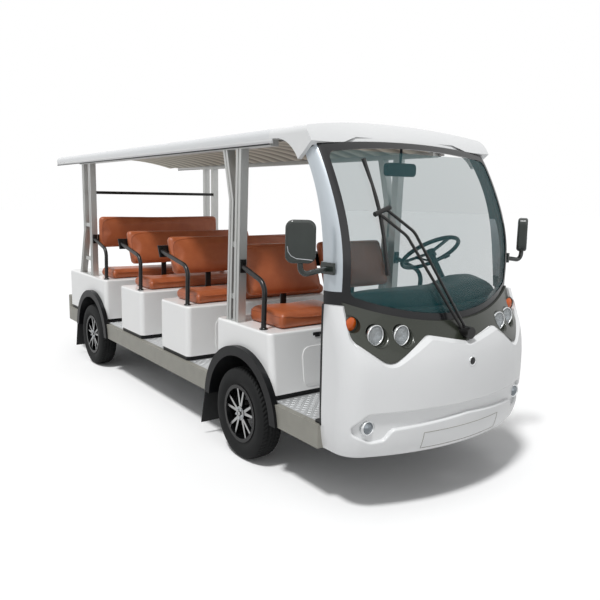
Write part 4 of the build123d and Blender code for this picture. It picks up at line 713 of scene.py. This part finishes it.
seal = []
z = np.linspace(SEAL_FOOT[2], COWL_EDGE[-1, 0], 40)
z = np.concatenate([z[:1], z, z[-1:]])
half = np.interp(z, *COWL_EDGE.T)
turn = np.linspace(0, 2 * np.pi, 24, endpoint=False)
square = [np.sign(f) * np.abs(f) ** SEAL_SQUARE for f in (np.cos(turn), np.sin(turn))]
shut = np.ones(len(z))
shut[[0, -1]] = 0
for side in (-1, 1):
    x = COWL_REAR_X + SEAL_HALF[0] * square[0][None] * shut[:, None]
    y = side * (half[:, None] - SEAL_INSET + SEAL_HALF[1] * square[1][None] * shut[:, None])
    seal.append(sheet(np.stack([x, y, np.broadcast_to(z[:, None], x.shape)], axis=2), round_v=True))
    foot = np.array(SEAL_FOOT) * (1, side, 1)
    seal.append(pad(foot, (1, 0, 0), (0, 1, 0), SEAL_FOOT_HALF, SEAL_FOOT_H, SEAL_FOOT_CORNER))
make_piece("cowl_edge_seals", seal, sheet_rubber)

# Silvered mirror glass: clean bright reflection
mirror_glass = cloudy("silvered_glass", "#CDD3D6", 60, 2, (0.01, 0.04), {"Metallic": 1.0})
glasses, mirror_highlight_lines = [], []
run = np.linspace(0, 1, 40)
across, height = (np.interp(run, MIRROR_HIGHLIGHT_LINE[:, 0], MIRROR_HIGHLIGHT_LINE[:, i])[:, None] for i in (1, 2))
for side in (-1, 1):
    front_way = np.array((math.cos(MIRROR_TOE), side * math.sin(MIRROR_TOE), 0))
    side_way = np.array((-front_way[1], front_way[0], 0))
    centre = MIRROR_AT * (1, side, 1)
    back = centre - front_way * MIRROR_BACK
    glasses.append(pad(back, -side_way, (0, 0, 1), MIRROR_HALF, MIRROR_T, MIRROR_CORNER))
    # Painted highlight: a pale zinc line along each mirror housing's lower front edge stands for the light
    # caught on that edge
    line = centre + front_way * MIRROR_FRONT + side * across * side_way + height * np.array((0, 0, 1))
    mirror_highlight_lines.append(tube(line, MIRROR_HIGHLIGHT_R, 8))
make_piece("mirror_glasses", glasses, mirror_glass)
make_piece("mirror_edge_painted_highlights", mirror_highlight_lines, zinc_plate)

steps = np.linspace(0, 1, len(BLADE))
spine = np.stack([np.interp(run, steps, BLADE[:, i]) for i in range(3)], axis=1)
blade = sheet(spine[:, None] + BLADE_LIPS[None], round_v=True)
make_piece("wiper_rubber", [blade], sheet_rubber, smooth=False)

# Roof
# A white moulded roof with a corrugated underside, hanging fascias and dark drip edges, on
# paired extruded posts that stand on bolted feet.
ROOF_SPAN = (-2.528, 1.598)
FASCIA_X, FASCIA_Y, FASCIA_Z = (-0.449, 2.079), (0.70285, 0.00435), (1.9415, 1.9675)
FASCIA_CORNER = 0.003
DRIP_Y, DRIP_Z, DRIP_R = 0.7035, 1.9405, 0.004
SLAT_MM = 170
LINER_X, LINER_HALF_Y = (-2.51, 1.59), 0.612
LINER_CROWN_Z, LINER_FALL, SLAT_DROP, LINER_SKIN = 2.048, 0.086, 0.012, 0.006
POST_FEET, POST_FOOT_Y, POST_FOOT_Z = (1.160, -1.72), (0.6455, 0.6795), 0.863
BOLT_HEAD = ((0, 0.006), (0.0042, 0.006), (0.007, 0.0036), (0.007, -0.0005), (0, -0.0005))

# Roof moulding: white gel coat, its top a shade greyer than the body's as painted shade; below, an unpolished
# cream face, darkened and striped with darker bands between the slats as painted shade
roof_shell_painted_shade, tree, shader = new_material("roof_gel_coat_painted_shade")
facing = add(tree, "SeparateXYZ", {0: tree.nodes["Texture Coordinate"].outputs["Normal"]})
under = add(tree, "MapRange", {"Value": facing.outputs["Z"], "From Min": -0.1, "From Max": -0.3})
soil = add(tree, "TexNoise", {"Scale": 1000 / 300, "Detail": 4})
# Painted shade: the top is tinted greyer than the body's gel coat
top_tint_painted_shade = add(tree, "Mix", {"Factor": soil, "A": "#D9DBDD", "B": "#E0E2E3"}, data_type="RGBA")
# Painted shade: the face below is darker, with darker bands between the slats
slats = add(tree, "TexWave", {"Scale": 100 * math.pi / SLAT_MM}, bands_direction="X")
slat_painted_shade = {"Factor": slats.outputs["Fac"], "A": "#857F72", "B": "#D2CDBE"}
under_tint_painted_shade = add(tree, "Mix", slat_painted_shade, data_type="RGBA")
tint = add(tree, "Mix", {"Factor": under, "A": top_tint_painted_shade, "B": under_tint_painted_shade}, data_type="RGBA")
rough = add(tree, "MapRange", {"Value": under, "To Min": 0.26, "To Max": 0.6})
feed(shader, {"Base Color": tint, "Roughness": rough})
dress("roof_panel", roof_shell_painted_shade)


def roof_liner():
    """Corrugated lining: a cosine wave along the roof laid under a parabola across it, with a flat back."""
    x, y = np.meshgrid(np.linspace(*LINER_X, 385), np.linspace(-1, 1, 33) * LINER_HALF_Y, indexing="ij")
    edge = np.ones(x.shape)
    edge[[0, -1]] = 0
    edge[:, [0, -1]] = 0
    back = LINER_CROWN_Z - LINER_FALL * (y / LINER_HALF_Y) ** 2
    wave = 0.5 - 0.5 * np.cos(2000 * np.pi * x / SLAT_MM)
    face = back - (LINER_SKIN + SLAT_DROP * wave) * edge
    return [sheet(np.stack([x, y, z], axis=2)) for z in (face, back)]


# The corrugated liner takes the roof gel coat with its painted shade below
make_piece("roof_liner", roof_liner(), roof_shell_painted_shade)
drips, fascias = [], []
turn = np.linspace(0, 2 * np.pi, 16, endpoint=False)
x = np.array([ROOF_SPAN[0], *ROOF_SPAN, ROOF_SPAN[1]])[:, None]
size = DRIP_R * np.array([0, 1, 1, 0])[:, None]
for side in (-1, 1):
    y = side * DRIP_Y + np.cos(turn)[None] * size
    z = DRIP_Z + np.sin(turn)[None] * size
    drips.append(sheet(np.stack([np.broadcast_to(x, y.shape), y, z], axis=2), round_v=True))
    foot = (FASCIA_X[0], side * FASCIA_Y[0], FASCIA_Z[0])
    half, height = (FASCIA_X[1], FASCIA_Y[1]), FASCIA_Z[1] - FASCIA_Z[0]
    fascias.append(pad(foot, (1, 0, 0), (0, 1, 0), half, height, FASCIA_CORNER, 4))
make_piece("roof_fascias", fascias, gel_coat)
make_piece("drip_edges", drips, sheet_rubber)

# Anodised extrusion: pale satin aluminium with fine draw lines along the post
extrusion, tree, shader = new_material("anodised_aluminium")
along = tree.nodes["Texture Coordinate"].outputs["Object"]
stretched = add(tree, "Mapping", {"Vector": along, "Scale": (1, 1, 0.02)})
lines = add(tree, "TexNoise", {"Vector": stretched, "Scale": 1000 / 2, "Detail": 4})
gloss = add(tree, "MapRange", {"Value": lines, "To Min": 0.26, "To Max": 0.44})
tint = add(tree, "Mix", {"Factor": lines, "A": "#B4B5B3", "B": "#CFD0CE"}, data_type="RGBA")
feed(shader, {"Base Color": tint, "Metallic": 0.8, "Roughness": gloss})
dress("post_aluminium", extrusion)
dress("roof_rails", extrusion)
dress("roof_cap", gel_coat)

feet = [
    turned(BOLT_HEAD, (x, side * y, POST_FOOT_Z), (0, 0, 1), 6)
    for x in POST_FEET
    for y in POST_FOOT_Y
    for side in (-1, 1)
]
make_piece("post_foot_bolts", feet, zinc_plate, smooth=False)

# Grab rails and seat frames
# Bent steel tube and flat bar in black powder coat, bolted down through round feet and
# top plates.
GRAB_FEET, GRAB_Y, GRAB_FOOT_Z = (1.492, 0.470, -0.405, -1.225), 0.6625, 0.861
STUD_CIRCLE, STUD_TURNS, STUD_SIZE = 0.0205, np.radians((90, 210, 330)), (0.62, 0.7)

# Powder coat: black with the slight orange-peel of a baked finish
powder_coat, tree, shader = new_material("black_powder_coat")
peel = add(tree, "TexNoise", {"Scale": 1000 / 4, "Detail": 1})
bump = add(tree, "Bump", {"Height": peel, "Strength": 0.12, "Distance": 0.0006})
feed(shader, {"Base Color": "#0D0C0C", "Roughness": 0.3, "Normal": bump})
dress("black_steel", powder_coat)
ways = STUD_CIRCLE * np.stack([np.cos(STUD_TURNS), np.sin(STUD_TURNS), 0 * STUD_TURNS], axis=1)
studs = [
    turned(np.array(BOLT_HEAD) * STUD_SIZE, way + (x, side * GRAB_Y, GRAB_FOOT_Z), (0, 0, 1), 6)
    for x in GRAB_FEET
    for way in ways
    for side in (-1, 1)
]
make_piece("grab_foot_bolts", studs, zinc_plate, smooth=False)

# Seats
# Foam cushions and backs covered in terracotta leatherette, sewn with a piped seam round
# the edge. The first row is two separate seats, the others are benches.
ROW1_SHIFTS, BENCH_SHIFTS = ((0, 0, 0), (0, 0.63, 0)), ((0, 0, 0), (-0.849, 0, 0))
SEATS = (
    ("seat_cushions", "row1_cushion", (1.17, -0.61, 0.84), (1.60, -0.02, 0.96), ROW1_SHIFTS),
    ("seat_cushions", "bench_cushion", (0.10, -0.62, 0.84), (0.51, 0.62, 0.96), BENCH_SHIFTS),
    ("seat_cushions", "rear_cushion", (-1.56, -0.63, 0.84), (-1.19, 0.63, 0.96), ((0, 0, 0),)),
    ("seat_backs", "row1_back", (1.04, -0.61, 1.0), (1.28, -0.02, 1.36), ROW1_SHIFTS),
    ("seat_backs", "bench_back", (-0.02, -0.62, 1.02), (0.21, 0.62, 1.36), BENCH_SHIFTS),
    ("seat_backs", "rear_back", (-1.53, -0.63, 1.12), (-1.42, 0.63, 1.45), ((0, 0, 0),)),
)
STUFF_VOXEL, STUFF_CAP, STUFF_FRAMES = 0.014, 0.016, 20
STUFF_SHRINK = {"seat_cushions": 0.008, "seat_backs": 0.004}
STUFF_PRESSURE = {"seat_cushions": 4.0, "seat_backs": 0.3}
STUFF_EASE = {"seat_cushions": 0.03, "seat_backs": 0.015}
CLOTH_QUALITY, CLOTH_STIFFNESS = 5, 12
PIPING_R, PIPING_STEPS, PIPING_SQUARE, PIPING_EASE = 0.0042, 160, 0.35, 4
BACK_T, BACK_SEAM_IN, BACK_SEAM_EDGE, CUSHION_SEAM_DROP = 0.08, 0.006, 0.004, 0.016

# Leatherette: embossed vinyl, terracotta, with a pebble grain and lighter rubbed high spots
leatherette, tree, shader = new_material("terracotta_leatherette")
pebble = add(tree, "TexVoronoi", {"Scale": 1000 / 6})
crease = add(tree, "TexNoise", {"Scale": 1000 / 90, "Detail": 6})
rubbed = add(tree, "Mix", {"Factor": crease, "A": "#9A4A24", "B": "#BA683E"}, data_type="RGBA")
bump = add(tree, "Bump", {"Height": pebble, "Strength": 0.25, "Distance": 0.0008})
fold = add(tree, "Bump", {"Height": crease, "Strength": 0.3, "Distance": 0.006, "Normal": bump})
feed(shader, {"Base Color": rubbed, "Roughness": 0.42, "Normal": fold})
feed(shader, {"Coat Weight": 0.12, "Coat Roughness": 0.3})
dress("seat_brown", leatherette)


def stuffed(node, name, low, high):
    """One pad cut from a CAD node, drawn in, remeshed and blown up as cloth, with its swell capped."""
    work = bmesh.new()
    work.from_mesh(frame["nodes"][node].data)
    bmesh.ops.remove_doubles(work, verts=work.verts, dist=1e-5)
    work.verts.ensure_lookup_table()
    at = np.array([v.co for v in work.verts])
    outside = np.nonzero(((at < low) | (at > high)).any(axis=1))[0]
    bmesh.ops.delete(work, geom=[work.verts[i] for i in outside], context="VERTS")
    mesh = bpy.data.meshes.new(name)
    work.to_mesh(mesh)
    work.free()
    points = np.empty(len(mesh.vertices) * 3)
    mesh.vertices.foreach_get("co", points)
    points = points.reshape(-1, 3)
    ends = points.min(axis=0), points.max(axis=0)
    middle, size = (ends[0] + ends[1]) / 2, ends[1] - ends[0]
    drawn = middle + (points - middle) * (1 - STUFF_SHRINK[node] / size)
    mesh.vertices.foreach_set("co", drawn.ravel())
    piece = bpy.data.objects.new(name, mesh)
    bpy.context.scene.collection.objects.link(piece)
    remesh = piece.modifiers.new("remesh", "REMESH")
    remesh.mode = "VOXEL"
    remesh.voxel_size = STUFF_VOXEL
    flat = bpy.data.meshes.new_from_object(piece.evaluated_get(bpy.context.evaluated_depsgraph_get()))
    piece.modifiers.clear()
    piece.data = flat
    start = np.empty(len(flat.vertices) * 3)
    flat.vertices.foreach_get("co", start)
    end = start.copy()
    cloth = piece.modifiers.new("cloth", "CLOTH")
    cloth.settings.use_pressure = True
    cloth.settings.uniform_pressure_force = STUFF_PRESSURE[node]
    cloth.settings.effector_weights.gravity = 0
    cloth.settings.shrink_min = -STUFF_EASE[node]
    cloth.settings.quality = CLOTH_QUALITY
    cloth.settings.tension_stiffness = cloth.settings.compression_stiffness = CLOTH_STIFFNESS
    cloth.point_cache.frame_start, cloth.point_cache.frame_end = 1, STUFF_FRAMES
    for step in range(1, STUFF_FRAMES + 1):
        bpy.context.scene.frame_set(step)
    blown = piece.evaluated_get(bpy.context.evaluated_depsgraph_get()).to_mesh()
    blown.vertices.foreach_get("co", end)
    piece.modifiers.clear()
    bpy.context.scene.frame_set(1)
    move = (end - start).reshape(-1, 3)
    length = np.maximum(np.linalg.norm(move, axis=1, keepdims=True), 1e-9)
    at = start.reshape(-1, 3) + move * np.minimum(1, STUFF_CAP / length)
    at[:, 2] = np.maximum(at[:, 2], ends[0][2])
    quads = np.empty(len(flat.loops), int)
    flat.loops.foreach_get("vertex_index", quads)
    bpy.data.objects.remove(piece)
    return at, quads.reshape(-1, 4), ends


def piping(at, ends, on_back):
    """A seam line: a rounded rectangle laid to the nearest skin points and smoothed by a running mean."""
    middle, half = (ends[0] + ends[1]) / 2, (ends[1] - ends[0]) / 2
    turn = np.linspace(0, 2 * np.pi, PIPING_STEPS, endpoint=False)
    u, v = (np.sign(f) * np.abs(f) ** PIPING_SQUARE for f in (np.cos(turn), np.sin(turn)))
    if on_back:
        x = middle[0] + BACK_T / 2 - BACK_SEAM_IN - (half[0] - BACK_T / 2) * v
        y = middle[1] + u * (half[1] - BACK_SEAM_EDGE)
        z = middle[2] + v * (half[2] - BACK_SEAM_EDGE)
    else:
        x, y = middle[0] + u * half[0], middle[1] + v * half[1]
        z = np.full(PIPING_STEPS, ends[1][2] - CUSHION_SEAM_DROP)
    gap = ((np.stack([x, y, z], axis=1)[:, None] - at[None]) ** 2).sum(axis=2)
    laid = at[gap.argmin(axis=1)]
    wrapped = np.concatenate([laid[-PIPING_EASE:], laid, laid[:PIPING_EASE]])
    kernel = np.ones(2 * PIPING_EASE + 1) / (2 * PIPING_EASE + 1)
    eased = np.stack([np.convolve(wrapped[:, i], kernel, "valid") for i in range(3)], axis=1)
    return np.concatenate([eased, eased[:1]])


pads = {"seat_cushions": [], "seat_backs": []}
seams = []
for node, name, low, high, shifts in SEATS:
    at, quads, ends = stuffed(node, name, np.array(low), np.array(high))
    seam = piping(at, ends, node == "seat_backs")
    for i, shift in enumerate(shifts):
        cushion = make_piece(f"{name}_{i + 1}", [(at + shift, quads)], leatherette)
        smooth = cushion.modifiers.new("smooth", "SUBSURF")
        smooth.levels = smooth.render_levels = 1
        pads[node].append(cushion)
        seams.append(tube(seam + np.array(shift), PIPING_R, 8))
for node, covers in pads.items():
    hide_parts(node)
make_piece("seat_piping", seams, leatherette)

# Cab
# A grained dash moulding with a soft top pad and two plain gauges, a steering column with a
# stalk each side, and two floor pedals.
GAUGES = ((2.0635, 0.275, 1.09), (2.0635, 0.385, 1.09))
BEZEL = ((0, 0.002), (0.0387, 0.002), (0.03999, 0.006), (0.043, 0.006), (0.043, -0.002), (0, -0.002))
MARK_TURNS, NEEDLE_TURN = np.radians(np.arange(-40, 221, 26)), 2.4
MARK = (0.03182, 0.0018, (0.0009, 0.0045), 0.0008, 0.0004)
NEEDLE = (0.014, 0.0022, (0.0011, 0.02), 0.001, 0.0005)
STALK_FROM, STALK_RUN, STALK_RISE = np.array((1.920, 0.330, 1.262)), (-0.01, 0.15, 0.018), (0, 0, 0.012)
STALK_R, STALK_GRIP_R, STALK_STEPS, GRIP_STEPS = 0.0065, 0.0095, 14, 5
PEDALS = ((0.235, 0.565), (0.135, 0.555))
PEDAL_X, PEDAL_LEAN, PEDAL_HALF, PEDAL_T, PEDAL_CORNER = 2.205, (-0.5, 0, 0.87), (0.032, 0.042), 0.012, 0.01
PEDAL_ARM, PEDAL_ARM_TOP_X, PEDAL_ARM_R = ((2.228, 0.452), (2.226, 0.50)), 2.21, 0.008
PAD_HALF_Y, PAD_REAR_X, PAD_NOSE_X, PAD_BOW = 0.60, 2.075, 2.33, 0.38
PAD_BASE_Z, PAD_RISE, PAD_SINK = 1.078, 0.085, 0.01
HOOD_RISE, HOOD_AT, HOOD_HALF_W = 0.06, 0.33, 0.2

# Vinyl skin: dark teal grey with a leather-like grain and no gloss
dash_vinyl, tree, shader = new_material("grained_vinyl")
grain = add(tree, "TexVoronoi", {"Scale": 1000 / 4})
cloud = add(tree, "TexNoise", {"Scale": 1000 / 200, "Detail": 3})
tint = add(tree, "Mix", {"Factor": cloud, "A": "#1B2625", "B": "#263332"}, data_type="RGBA")
bump = add(tree, "Bump", {"Height": grain, "Strength": 0.1, "Distance": 0.0006})
feed(shader, {"Base Color": tint, "Roughness": 0.5, "Normal": bump})
dress("dash_teal", dash_vinyl)


def dash_pad():
    """A soft dash top: height over a bowed plan, swelling from its edge and raised over the gauges."""
    u, v = np.meshgrid(np.linspace(-1, 1, 65), np.linspace(-1, 1, 25), indexing="ij")
    y = PAD_HALF_Y * u
    x = PAD_REAR_X + (v + 1) / 2 * (PAD_NOSE_X - PAD_BOW * y**2 - PAD_REAR_X)
    swell = np.sqrt((1 - u**8) * (1 - v**4))
    hood = np.exp(-(((y - HOOD_AT) / HOOD_HALF_W) ** 4)) * (1 - v) / 2
    top = PAD_BASE_Z + (PAD_RISE + HOOD_RISE * hood) * swell
    bottom = PAD_BASE_Z - PAD_SINK * swell
    return [sheet(np.stack([x, y, z], axis=2)) for z in (top, bottom)]


make_piece("dash_top_pad", dash_pad(), dash_vinyl)

# Printed dial: matt off-white marks on a charcoal face
dial_white = cloudy("printed_dial_marks", "#D9DAD6", 3, 2, (0.5, 0.7), {})
bezels, marks = [], []
for at in GAUGES:
    bezels.append(turned(BEZEL, at, (-1, 0, 0), 48))
    printed = [(turn, *MARK) for turn in MARK_TURNS] + [(NEEDLE_TURN, *NEEDLE)]
    for turn, reach, lift, half, thickness, corner in printed:
        way = np.array((0, math.cos(turn), math.sin(turn)))
        spot = np.array(at) + way * reach - (lift, 0, 0)
        marks.append(pad(spot, np.cross(way, (-1, 0, 0)), way, half, thickness, corner, 3))
make_piece("gauge_bezels", bezels, black_plastic)
make_piece("gauge_marks", marks, dial_white)

stalks = []
share = np.linspace(0, 1, STALK_STEPS)[:, None]
for side in (-1, 1):
    path = STALK_FROM + share * np.array(STALK_RUN) * (1, side, 1) + share**2 * STALK_RISE
    stalks += [tube(path, STALK_R), tube(path[-GRIP_STEPS:], STALK_GRIP_R)]
make_piece("column_stalks", stalks, black_plastic)
pedals = []
for y, z in PEDALS:
    pedals.append(pad((PEDAL_X, y, z), (0, -1, 0), PEDAL_LEAN, PEDAL_HALF, PEDAL_T, PEDAL_CORNER))
    arm = [(x, y, height) for x, height in (*PEDAL_ARM, (PEDAL_ARM_TOP_X, z))]
    pedals.append(tube(arm, PEDAL_ARM_R))
make_piece("floor_pedals", pedals, sheet_rubber)

low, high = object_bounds()
